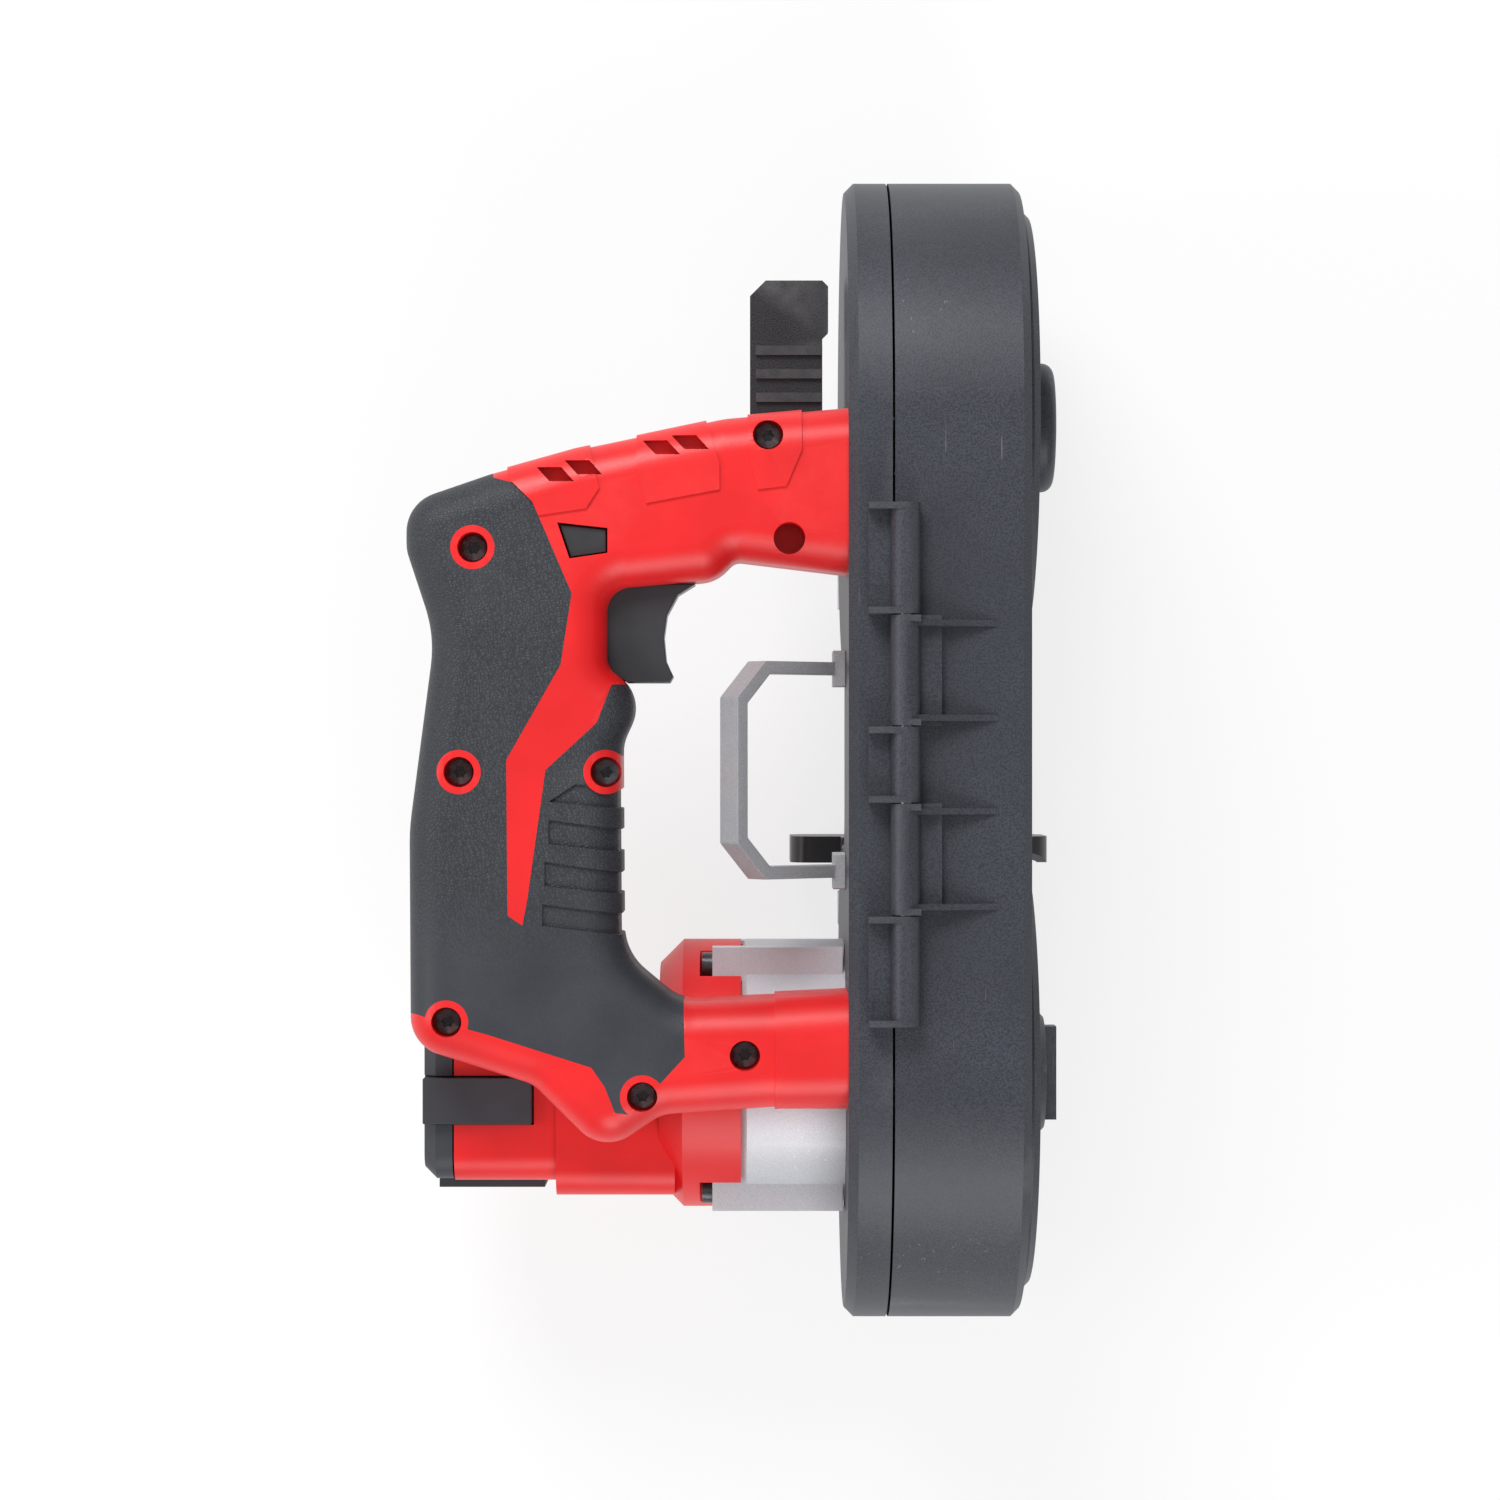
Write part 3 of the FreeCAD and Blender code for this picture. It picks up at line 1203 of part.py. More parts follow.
def handle_tools(name, side):
    """Cuts in one half: screw and arm holes, trigger slot, switch and board pockets, button hole, vents."""
    head_floor = near_face - S.screw_recess
    tools = []
    for number, (reach, top) in enumerate(screw_place_shares, start=1):
        x, y = handle_point(reach, top)
        if side > 0:
            tools.append(cylinder(f"{name}_counterbore_{number}", "z", x, y, head_floor,
                                  S.counterbore_radius, S.screw_recess + S.cut_overrun))
        bottom = head_floor - S.screw_bite
        tools.append(cylinder(f"{name}_hole_{number}", "z", x, y, bottom,
                              S.screw_shank_radius + S.pin_clearance, S.screw_bite + S.cut_overrun))
    for number, (y, z) in enumerate(frame_fixings(), start=1):
        tools.append(cylinder(f"{name}_arm_hole_{number}", "x", S.frame_back - S.fixing_bite, y, z,
                              S.fixing_radius + S.pin_clearance, S.fixing_bite + S.cut_overrun))
    tools.append(trigger_slot(name))
    tools.append(inner_box(f"{name}_switch_room", switch_place(), S.button_gap))
    tools.append(inner_box(f"{name}_board_room", board_place(), S.button_gap))
    if side > 0:
        hole = new_body("button_hole")
        points = [handle_point(reach, top) for reach, top in button_outline_shares]
        spread = inset_points([(float(x), float(y), 0) for x, y in points], -float(S.button_gap))
        pad(hole, "XY_Plane", parting_height - S.cut_overrun, S.half_thickness + S.cut_overrun * 2,
            [rounded_path(spread)])
        tools.append(hole)
        tools.extend(vent_tools())
        x, y = handle_point(*blind_hole_shares)
        tools.append(cylinder("blind_hole", "z", x, y, near_face - S.blind_hole_depth, S.blind_hole_radius,
                              S.blind_hole_depth + S.cut_overrun))
    return tools


def vent_tools():
    """Leaning vent slots in the shoulder of the top arm."""
    vents = []
    for number, (reach, top) in enumerate(vent_place_shares, start=1):
        x, y = handle_point(reach, top)
        half = S.vent_width / 2
        rise = S.vent_height / 2
        vent = new_body(f"vent_{number}")
        pad(vent, "XY_Plane", near_face - S.vent_depth, S.vent_depth + S.cut_overrun,
            [plain_path([(x - half + S.vent_lean, y - rise), (x + half + S.vent_lean, y - rise),
                         (x + half - S.vent_lean, y + rise), (x - half - S.vent_lean, y + rise)])])
        vents.append(vent)
    return vents


def trigger_limits():
    """Front, back, low and high of the trigger at rest."""
    reaches = [reach for reach, top in trigger_outline_shares]
    tops = [top for reach, top in trigger_outline_shares]
    front, low = handle_point(min(reaches), min(tops))
    back, high = handle_point(max(reaches), max(tops))
    return front, back, low, high


def trigger_slot(name):
    front, back, low, high = trigger_limits()
    half = S.trigger_width / 2 + S.trigger_gap
    start = back - S.trigger_tail - S.trigger_travel - S.trigger_gap
    return box(f"{name}_trigger_slot", start, low - S.trigger_gap, parting_height - half, front - start,
               high - low + S.trigger_gap * 2, half * 2)


def switch_place():
    _, back, low, _ = trigger_limits()
    start = back - S.trigger_tail - S.trigger_travel - S.switch_length
    return (start, low + S.trigger_gap, parting_height - S.switch_width / 2,
            S.switch_length, S.switch_height, S.switch_width)


def board_place():
    x, y = handle_point(handle_outline_shares[2][0], frame_share())
    return (x - S.board_thickness, y, parting_height - S.board_height / 2,
            S.board_length, S.board_thickness, S.board_height)


def frame_share():
    """Height of the board in the top arm, between its two edges."""
    return (handle_outline_shares[2][1] + handle_outline_shares[-2][1]) / 2


def inner_box(name, place, gap):
    x, y, z, length, width, height = place
    return box(name, x - gap, y - gap, z - gap, length + gap * 2, width + gap * 2, height + gap * 2)


def make_handle_inner():
    keep(box("trigger_switch", *switch_place()))
    keep(box("control_board", *board_place()))
    trigger = new_body("trigger")
    points = [handle_point(reach, top) for reach, top in trigger_outline_shares]
    pad(trigger, "XY_Plane", parting_height - S.trigger_width / 2, S.trigger_width, [plain_path(points)])
    _, back, low, high = trigger_limits()
    tail_half = S.trigger_width / 4
    pad(trigger, "XY_Plane", parting_height - tail_half, tail_half * 2,
        [rectangle(back - S.trigger_tail / 2 + S.trigger_gap, (low + high) / 2,
                   S.trigger_tail / 2 + S.trigger_gap, tail_half)])
    keep(trigger)
    button = new_body("lock_button")
    points = [handle_point(reach, top) for reach, top in button_outline_shares]
    low = parting_height + S.button_travel
    pad(button, "XY_Plane", low, near_face - S.button_recess - low, [plain_path(points)])
    keep(button)
    head_floor = near_face - S.screw_recess
    screws = []
    for number, (reach, top) in enumerate(screw_place_shares, start=1):
        x, y = handle_point(reach, top)
        screws.append(screw(f"handle_screw_{number}", "z", x, y, head_floor, -1, S.screw_head_radius,
                            S.screw_head_height, S.screw_shank_radius, S.screw_bite))
    keep(group("handle_screws", screws))


# Idler carriage and tension lever
def make_tension():
    start = S.frame_back + S.frame_plate + S.carriage_gap
    carriage = new_body("idler_carriage")
    pad(carriage, "YZ_Plane", start, S.carriage_thickness,
        [rectangle(idler_y, axis_height, S.carriage_length / 2, S.carriage_half)])
    axle_end = rim_end + S.hub_front + S.cam_gap
    pad(carriage, "YZ_Plane", start, axle_end - start, [circle(idler_y, axis_height, S.shaft_radius)])
    cam_y = idler_y - S.cam_inset
    slot_half = S.cam_pin_radius + S.cam_play
    pocket(carriage, "YZ_Plane", start - S.cut_overrun, S.carriage_thickness + S.cut_overrun * 2,
           [rectangle(cam_y + S.cam_throw, axis_height, slot_half, slot_half + S.cam_throw)])
    keep(carriage)
    lever = new_body("tension_lever")
    back = S.frame_back - S.lever_standoff
    lever_start = back - S.lever_width
    pad(lever, "YZ_Plane", lever_start, S.lever_width, [circle(cam_y, axis_height, S.lever_hub_radius)])
    tip = cam_y + S.lever_reach
    low = axis_height + S.lever_hub_radius - S.lever_thickness
    pad(lever, "XY_Plane", low, S.lever_thickness,
        [plain_path([(lever_start, cam_y), (back - S.lever_step, cam_y),
                     (back - S.lever_step, tip - S.lever_block - S.lever_step),
                     (back, tip - S.lever_block), (back, tip - S.lever_step), (back - S.lever_step, tip),
                     (lever_start + S.lever_bevel, tip), (lever_start, tip - S.lever_bevel)])])
    for number in range(LEVER_RIBS):
        place = tip - S.lever_rib_start - S.lever_rib_pitch * number
        pad(lever, "XY_Plane", low + S.lever_thickness, S.lever_rib,
            [rectangle(lever_start + S.lever_width / 2, place, S.lever_width / 2 - S.lever_step,
                       S.lever_rib)])
    pad(lever, "YZ_Plane", back, S.lever_standoff + S.frame_plate,
        [circle(cam_y, axis_height, S.lever_shaft_radius)])
    pad(lever, "YZ_Plane", back + S.lever_standoff, S.frame_plate + S.carriage_gap + S.carriage_thickness,
        [circle(cam_y + S.cam_throw, axis_height, S.cam_pin_radius)])
    keep(lever)


# Guides, shoe and throat guard
def make_guides():
    middle_x = blade_start + S.blade_width / 2
    middle_z = axis_height - blade_inner - S.blade_thickness / 2
    turn = FreeCAD.Rotation(FreeCAD.Vector(0, 1, 0), 90 + WORK_TWIST)
    across = FreeCAD.Rotation(FreeCAD.Vector(0, 1, 0), WORK_TWIST)
    offset = S.roller_radius + S.blade_thickness / 2 + S.blade_gap
    share = math.cos(math.radians(WORK_TWIST))
    plate_back = S.blade_width / 2 + S.blade_gap * 2 + S.bracket_depth
    pin_shift = plate_back - S.roller_length / 2
    for name, side in (("front", 1), ("rear", -1)):
        y = side * guide_place
        pins = []
        for where, up in (("inner", 1), ("outer", -1)):
            x = middle_x + offset * (share * up) - S.roller_length / 2 * share
            z = middle_z + offset * (share * up) + S.roller_length / 2 * share
            roller = doc.addObject("Part::Cylinder", f"{name}_{where}_roller_blank")
            hole = doc.addObject("Part::Cylinder", f"{name}_{where}_roller_hole")
            pin = doc.addObject("Part::Cylinder", f"{name}_{where}_roller_pin")
            for thing, radius, length, shift in (
                    (roller, S.roller_radius, S.roller_length, 0),
                    (hole, S.roller_bore + S.pin_clearance, S.roller_length + S.cut_overrun * 2,
                     S.cut_overrun),
                    (pin, S.roller_bore, S.roller_length + pin_shift, pin_shift)):
                thing.Placement = FreeCAD.Placement(ORIGIN, turn)
                bind(thing, "Radius", radius)
                bind(thing, "Height", length)
                bound_place(thing, x - shift * share, y, z + shift * share)
            keep(cut(f"{name}_{where}_roller", roller, hole))
            pins.append(pin)
        keep(group(f"{name}_roller_pins", pins))
        plate = doc.addObject("Part::Box", f"{name}_bracket_plate")
        plate.Placement = FreeCAD.Placement(ORIGIN, across)
        reach = S.roller_radius * 2 + offset
        bind(plate, "Length", S.bracket_depth)
        bind(plate, "Width", S.bracket_width)
        bind(plate, "Height", reach * 2)
        bound_place(plate, middle_x - plate_back * share - reach * share, y - S.bracket_width / 2,
                    middle_z + plate_back * share - reach * share)
        arm = box(f"{name}_bracket_arm", S.frame_back, y - S.bracket_width / 2, S.roller_radius / 2,
                  middle_x - S.frame_back - reach, S.bracket_width, S.bracket_height)
        whole = fuse(f"{name}_bracket_blank", plate, arm)
        ends = cylinder(f"{name}_bracket_seat", "x", S.frame_back - S.cut_overrun, side * S.wheel_span / 2,
                        axis_height, S.end_radius, rim_end - S.frame_back)
        keep(cut(f"{name}_guide_bracket", whole, ends, *pins))


def make_shoe():
    shoe = new_body("shoe_blank")
    half = S.shoe_width / 2
    height = S.shoe_height / 2
    middle_z = S.shoe_drop + height
    pad(shoe, "XZ_Plane", throat_half, S.shoe_thickness,
        [rectangle(S.shoe_left + half, middle_z, half, height, S.shoe_round)])
    pocket(shoe, "XZ_Plane", throat_half + S.shoe_wall, S.shoe_thickness,
           [rectangle(S.shoe_left + half, middle_z, half - S.shoe_wall, height - S.shoe_wall,
                      S.shoe_round - S.shoe_wall)])
    slot = doc.addObject("Part::Box", "shoe_slot")
    slot.Placement = FreeCAD.Placement(ORIGIN, FreeCAD.Rotation(FreeCAD.Vector(0, 1, 0), WORK_TWIST))
    share = math.cos(math.radians(WORK_TWIST))
    middle_x = blade_start + S.blade_width / 2
    blade_z = axis_height - blade_inner - S.blade_thickness / 2
    bind(slot, "Length", S.blade_width * 2)
    bind(slot, "Width", S.shoe_thickness * 3)
    bind(slot, "Height", S.shoe_slot)
    bound_place(slot, middle_x - S.slot_back * share - S.shoe_slot / 2 * share,
                -throat_half - S.shoe_thickness * 2,
                blade_z + S.slot_back * share - S.shoe_slot / 2 * share)
    foot = box("shoe_foot", S.frame_back, -throat_half - S.shoe_thickness,
               S.shoe_drop + S.shoe_height - S.shoe_wall, S.frame_depth, S.shoe_thickness,
               axis_height - S.shoe_height)
    seat = cylinder("shoe_seat", "x", S.frame_back - S.cut_overrun, drive_y, axis_height, S.end_radius,
                    S.frame_depth + S.cut_overrun * 2)
    blank = fuse("shoe_whole", cut("shoe_slotted", shoe, slot), foot)
    cover_seat = cylinder("shoe_cover_gap", "x", parting - S.parting_gap, drive_y, axis_height,
                          S.end_radius + S.parting_gap, S.shoe_width)
    keep(cut("work_shoe", blank, seat, cover_seat))


def make_throat_guard():
    """Grey loop behind the throat, tilted so that its outer end rises."""
    loop = new_body("throat_guard")
    outer = [(0, S.loop_half, 0), (S.loop_length - S.loop_corner, S.loop_half, 0),
             (S.loop_length, S.loop_half - S.loop_corner, 0),
             (S.loop_length, S.loop_corner - S.loop_half, 0),
             (S.loop_length - S.loop_corner, -S.loop_half, 0), (0, -S.loop_half, 0)]
    inset = S.loop_half - S.loop_bar
    length = S.loop_length - S.loop_bar
    corner = S.loop_corner - S.loop_bar / 2
    inner = [(0, -inset, 0), (length - corner, -inset, 0), (length, corner - inset, 0),
             (length, inset - corner, 0), (length - corner, inset, 0), (0, inset, 0)]
    points = [(-u, v, 0) for u, v, _ in outer + inner]
    pad(loop, "XY_Plane", 0, S.loop_width, [rounded_path(points)])
    tilt = FreeCAD.Rotation(FreeCAD.Vector(0, 1, 0), float(S.loop_tilt))
    loop.Placement = FreeCAD.Placement(ORIGIN, tilt)
    bound_place(loop, S.frame_back, S.loop_middle, S.loop_root)
    front = box("loop_front", S.frame_back, -S.wheel_span / 2, 0, S.loop_length, S.wheel_span,
                S.end_radius * 2)
    feet = [box(f"loop_foot_{side + 2}", S.frame_back - S.loop_bar,
                S.loop_middle + side * (S.loop_half - S.loop_bar / 2) - S.loop_foot / 2,
                S.loop_root - S.foot_drop, S.loop_bar, S.loop_foot, S.foot_height) for side in (-1, 1)]
    keep(cut("throat_loop", fuse("loop_whole", loop, *feet), front))


def make_fixings():
    screws = []
    for number, (y, z) in enumerate(frame_fixings(), start=1):
        screws.append(screw(f"arm_screw_{number}", "x", S.frame_back + S.frame_plate, y, z, -1,
                            S.fixing_head_radius, S.fixing_head, S.fixing_radius,
                            S.frame_plate + S.fixing_bite))
    keep(group("arm_screws", screws))
    screws = []
    for name, up, across in case_corners():
        y, z = ear_middle(up, across)[:2]
        screws.append(screw(f"{name}_case_screw", "x", case_start - S.ear_reach, y, z, 1,
                            S.screw_head_radius, S.screw_head_height, S.screw_shank_radius,
                            S.fixing_length))
    keep(group("case_screws", screws))


make_frame()
make_cover()
make_caps()
make_wheels()
make_blade()
make_gears()
make_gear_case()
make_housing()
make_battery()
make_handle()
make_handle_inner()
make_tension()
make_guides()
make_shoe()
make_throat_guard()
make_fixings()
doc.recompute()

for thing in doc.Objects:
    if "Invalid" in thing.State or "Error" in thing.State:
        raise ValueError(f"{thing.Name} failed: {thing.State}")
os.makedirs("parts", exist_ok=True)
for node in nodes:
    shape = node.Shape
    if shape.isNull() or not shape.isValid():
        raise ValueError(f"{node.Label} has no valid shape")
for node in nodes:
    node.Shape.exportStep(f"parts/{node.Label}.step")
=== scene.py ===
import json
import math

import bpy
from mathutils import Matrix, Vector


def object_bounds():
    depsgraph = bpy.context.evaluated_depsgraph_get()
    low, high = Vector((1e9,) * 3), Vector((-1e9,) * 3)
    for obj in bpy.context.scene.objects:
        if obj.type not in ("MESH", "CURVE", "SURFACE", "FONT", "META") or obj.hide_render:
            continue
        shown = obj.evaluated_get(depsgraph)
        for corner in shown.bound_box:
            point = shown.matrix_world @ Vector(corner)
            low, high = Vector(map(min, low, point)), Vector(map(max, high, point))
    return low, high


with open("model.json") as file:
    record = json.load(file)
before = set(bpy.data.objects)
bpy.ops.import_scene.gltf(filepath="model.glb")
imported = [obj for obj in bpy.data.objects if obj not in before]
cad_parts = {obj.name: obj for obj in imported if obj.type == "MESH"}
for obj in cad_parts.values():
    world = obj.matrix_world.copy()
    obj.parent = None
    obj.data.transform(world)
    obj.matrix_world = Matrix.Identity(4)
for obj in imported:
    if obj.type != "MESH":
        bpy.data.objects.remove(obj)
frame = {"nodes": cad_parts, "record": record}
cad_low, cad_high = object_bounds()
scene = bpy.context.scene
MM = 0.001

# Colours, linear, as they look in plain light; the dip colours are painted shade for the dips of a fine
# grain.
RED = (0.82, 0.011, 0.013, 1)
RED_DEEP = (0.72, 0.008, 0.010, 1)
RED_RUBBED = (0.88, 0.045, 0.045, 1)
GRIP = (0.028, 0.031, 0.039, 1)
GRIP_DUSTY = (0.039, 0.043, 0.054, 1)
# Painted shade for the dips between the grip's pebbles.
GRIP_DIP_SHADE = (0.018, 0.020, 0.026, 1)
GRIP_RUBBED = (0.050, 0.053, 0.060, 1)
GUARD = (0.041, 0.046, 0.059, 1)
GUARD_PALE = (0.056, 0.062, 0.079, 1)
# Painted shade for the dips of the guard coat's grain.
GUARD_DIP_SHADE = (0.029, 0.032, 0.042, 1)
GUARD_RUBBED = (0.13, 0.135, 0.145, 1)
SILVER = (0.66, 0.67, 0.70, 1)
SILVER_DULL = (0.58, 0.59, 0.63, 1)
# Painted shade for the dips of the case paint's grain.
SILVER_DIP_SHADE = (0.54, 0.55, 0.59, 1)
SILVER_RUBBED = (0.78, 0.79, 0.81, 1)
BLACK = (0.022, 0.0225, 0.026, 1)
BLACK_WORN = (0.038, 0.0385, 0.044, 1)
# Painted shade for the dips between the tyre's pebbles.
BLACK_DIP_SHADE = (0.008, 0.008, 0.010, 1)
BLACK_RUBBED = (0.06, 0.06, 0.065, 1)
OXIDE = (0.055, 0.055, 0.060, 1)
OXIDE_PALE = (0.085, 0.085, 0.092, 1)
OXIDE_RUBBED = (0.20, 0.20, 0.21, 1)
STEEL = (0.46, 0.46, 0.47, 1)
STEEL_DARK = (0.30, 0.30, 0.31, 1)
LOOP = (0.36, 0.365, 0.385, 1)
LOOP_PALE = (0.42, 0.425, 0.445, 1)
# Painted shade for the dips of the loop paint's grain.
LOOP_DIP_SHADE = (0.32, 0.325, 0.345, 1)
LOOP_RUBBED = (0.55, 0.555, 0.57, 1)
RUBBER = (0.020, 0.020, 0.021, 1)
BOARD = (0.02, 0.12, 0.05, 1)
FLOOR = (0.92, 0.92, 0.92, 1)
WHITE = (1, 1, 1, 1)

# The two ends of a mask.
NOWHERE = (0, 0, 0, 1)
EVERYWHERE = (1, 1, 1, 1)

# Wear on edges: how sharp an edge is rubbed, and how large the rubbed patches are.
RUBBED_EDGE = (0.515, 0.60)
RUBBED_PATCH_MM = 3.0

# Scratches: their width, the part of the noise that is a scratch, and the areas that have them.
SCRATCH_MM = 0.9
SCRATCH_SPAN = (0.735, 0.75)
SCRATCHED_AREA_MM = 28.0
SCRATCHED_SPAN = (0.58, 0.64)
SCRATCH_STRETCH = (1, 0.04, 1)

# The part of a fine noise that is a dip, darkened with painted shade.
DIP_SPAN = (0.40, 0.58)

# Size of the slow colour changes, and the span of the noise that they take.
FLOW_MM = 22.0
FLOW_SPAN = (0.35, 0.65)
BLOOM_MM = 14.0
BLOOM_SPAN = (0.30, 0.72)
COAT_CLOUD_MM = 30.0
COAT_CLOUD_SPAN = (0.30, 0.70)
METAL_CLOUD_MM = 9.0
METAL_CLOUD_SPAN = (0.35, 0.65)

# How far the fine grain takes the roughness below and above its middle.
PLASTIC_GLOSS = (-0.06, 0.08)
COAT_GLOSS = (-0.05, 0.10)
METAL_GLOSS = (-0.07, 0.09)
METAL_GRAIN_DEPTH_MM = 0.015

# Soft rubber: its roughness, its pebbles and dips by the distance to a cell's edge (the dips darkened
# with painted shade), and its finer grain.
RUBBER_ROUGHNESS = (0.46, 0.60)
PEBBLE_SPAN = (0.03, 0.26)
PEBBLE_DIP_SPAN = (0.03, 0.22)
RUBBER_GRAIN_MM = 0.35
RUBBER_GRAIN_SHARE = 0.4

# The grip is fully pebbled above the first place along Y, and has this share of it below the second.
PEBBLED_ABOVE_MM = -30
SMOOTH_BELOW_MM = -56
SMOOTH_SHARE = 0.25


class Nodes:
    """Short hand for one material's node tree."""

    def __init__(self, name):
        self.material = bpy.data.materials.new(name)
        self.material.use_nodes = True
        self.tree = self.material.node_tree
        self.shader = self.tree.nodes["Principled BSDF"]
        self.place = self.add("ShaderNodeTexCoord").outputs["Object"]

    def add(self, kind, **values):
        """New node with its plain properties set."""
        node = self.tree.nodes.new(kind)
        for key, value in values.items():
            setattr(node, key, value)
        return node

    def link(self, output, socket):
        self.tree.links.new(output, socket)

    def noise(self, grain_mm, detail, stretch=(1, 1, 1)):
        """Noise whose grains are about grain_mm across, stretched along the axes."""
        mapping = self.add("ShaderNodeMapping")
        mapping.inputs["Scale"].default_value = stretch
        self.link(self.place, mapping.inputs["Vector"])
        noise = self.add("ShaderNodeTexNoise")
        noise.inputs["Scale"].default_value = 1 / (grain_mm * MM)
        noise.inputs["Detail"].default_value = detail
        self.link(mapping.outputs["Vector"], noise.inputs["Vector"])
        return noise.outputs["Fac"]

    def cells(self, size_mm):
        """Distance to the nearest cell edge, for pebbled grain."""
        cells = self.add("ShaderNodeTexVoronoi", feature="DISTANCE_TO_EDGE")
        cells.inputs["Scale"].default_value = 1 / (size_mm * MM)
        self.link(self.place, cells.inputs["Vector"])
        return cells.outputs["Distance"]

    def ramp(self, value, span, first, second):
        """Blend two colours as value goes over a span."""
        ramp = self.add("ShaderNodeValToRGB")
        low, high = ramp.color_ramp.elements
        low.position, high.position = span
        low.color = first
        high.color = second
        self.link(value, ramp.inputs["Fac"])
        return ramp.outputs["Color"]

    def spread(self, value, to_span, from_span=(0, 1)):
        """Stretch a value from one span over another."""
        spread = self.add("ShaderNodeMapRange")
        spread.inputs["From Min"].default_value, spread.inputs["From Max"].default_value = from_span
        spread.inputs["To Min"].default_value, spread.inputs["To Max"].default_value = to_span
        self.link(value, spread.inputs["Value"])
        return spread.outputs["Result"]

    def times(self, first, second):
        """Product of two values."""
        product = self.add("ShaderNodeMath", operation="MULTIPLY")
        self.link(first, product.inputs[0])
        self.link(second, product.inputs[1])
        return product.outputs["Value"]

    def mix(self, factor, first, second):
        """Mix a fixed second colour into the first."""
        mix = self.add("ShaderNodeMix", data_type="RGBA")
        self.link(factor, mix.inputs["Factor"])
        self.link(first, mix.inputs["A"])
        mix.inputs["B"].default_value = second
        return mix.outputs["Result"]

    def rubbed(self, color, bare, amount):
        """Mix in a rubbed colour along outer edges, broken up by noise."""
        sharpness = self.add("ShaderNodeNewGeometry").outputs["Pointiness"]
        edge = self.spread(sharpness, (0, amount), RUBBED_EDGE)
        return self.mix(self.times(edge, self.noise(RUBBED_PATCH_MM, detail=4.0)), color, bare)

    def scratches(self, color, bare):
        """A few fine pale scratches, long along Y."""
        lines = self.noise(SCRATCH_MM, detail=1.0, stretch=SCRATCH_STRETCH)
        areas = self.noise(SCRATCHED_AREA_MM, detail=1.0)
        lines = self.ramp(lines, SCRATCH_SPAN, NOWHERE, EVERYWHERE)
        areas = self.ramp(areas, SCRATCHED_SPAN, NOWHERE, EVERYWHERE)
        return self.mix(self.times(lines, areas), color, bare)

    def shaded_speckle(self, color, dip_shade, grain_mm):
        """Darken the dips of a fine grain with painted shade."""
        shaded_dips = self.ramp(self.noise(grain_mm, detail=2.0), DIP_SPAN, EVERYWHERE, NOWHERE)
        return self.mix(shaded_dips, color, dip_shade)

    def along_y(self, low_mm, high_mm, least):
        """Value that grows from least to 1 between two places along Y."""
        split = self.add("ShaderNodeSeparateXYZ")
        self.link(self.place, split.inputs["Vector"])
        return self.spread(split.outputs["Y"], (least, 1), (low_mm * MM, high_mm * MM))

    def bump(self, height, depth_mm, strength, below=None):
        """Normal for a relief, on top of another relief where one is given."""
        bump = self.add("ShaderNodeBump")
        bump.inputs["Strength"].default_value = strength
        bump.inputs["Distance"].default_value = depth_mm * MM
        self.link(height, bump.inputs["Height"])
        if below is not None:
            self.link(below, bump.inputs["Normal"])
        return bump.outputs["Normal"]

    def finish(self, color, roughness, normal, metallic=0.0):
        """Join the surface to the shader and hand back the material."""
        self.link(color, self.shader.inputs["Base Color"])
        self.link(roughness, self.shader.inputs["Roughness"])
        self.link(normal, self.shader.inputs["Normal"])
        self.shader.inputs["Metallic"].default_value = metallic
        return self.material


def around(roughness, gloss):
    """Lowest and highest roughness about a middle one."""
    return roughness + gloss[0], roughness + gloss[1]


def moulded_plastic(name, color, deep, rubbed, roughness, grain_mm=0.5, depth_mm=0.03):
    """Spark-textured moulding with faint flow marks and lightly rubbed edges."""
    surface = Nodes(name)
    flow = surface.noise(FLOW_MM, detail=2.0)
    fine = surface.noise(grain_mm, detail=4.0)
    tint = surface.rubbed(surface.ramp(flow, FLOW_SPAN, deep, color), rubbed, amount=0.5)
    gloss = surface.spread(fine, around(roughness, PLASTIC_GLOSS))
    return surface.finish(tint, gloss, surface.bump(fine, depth_mm, strength=0.6))


def soft_rubber(name, color, pale, dip_shade, rubbed, cell_mm, depth_mm, smooth_end=False):
    """Pebbled soft rubber with a dusty bloom and painted shade in its dips, smoother at its lower end if
    asked.
    """
    surface = Nodes(name)
    bloom = surface.noise(BLOOM_MM, detail=3.0)
    pebbles = surface.ramp(surface.cells(cell_mm), PEBBLE_SPAN, NOWHERE, EVERYWHERE)
    # Painted shade darkens the dips at the cell edges.
    shaded_dips = surface.ramp(surface.cells(cell_mm), PEBBLE_DIP_SPAN, EVERYWHERE, NOWHERE)
    if smooth_end:
        pebbled = surface.along_y(SMOOTH_BELOW_MM, PEBBLED_ABOVE_MM, SMOOTH_SHARE)
        pebbles = surface.times(pebbles, pebbled)
        shaded_dips = surface.times(shaded_dips, pebbled)
    tint = surface.mix(shaded_dips, surface.ramp(bloom, BLOOM_SPAN, color, pale), dip_shade)
    tint = surface.rubbed(tint, rubbed, amount=0.6)
    relief = surface.bump(pebbles, depth_mm, strength=0.8)
    fine = surface.noise(RUBBER_GRAIN_MM, detail=4.0)
    relief = surface.bump(fine, depth_mm * RUBBER_GRAIN_SHARE, strength=0.5, below=relief)
    return surface.finish(tint, surface.spread(bloom, RUBBER_ROUGHNESS), relief)


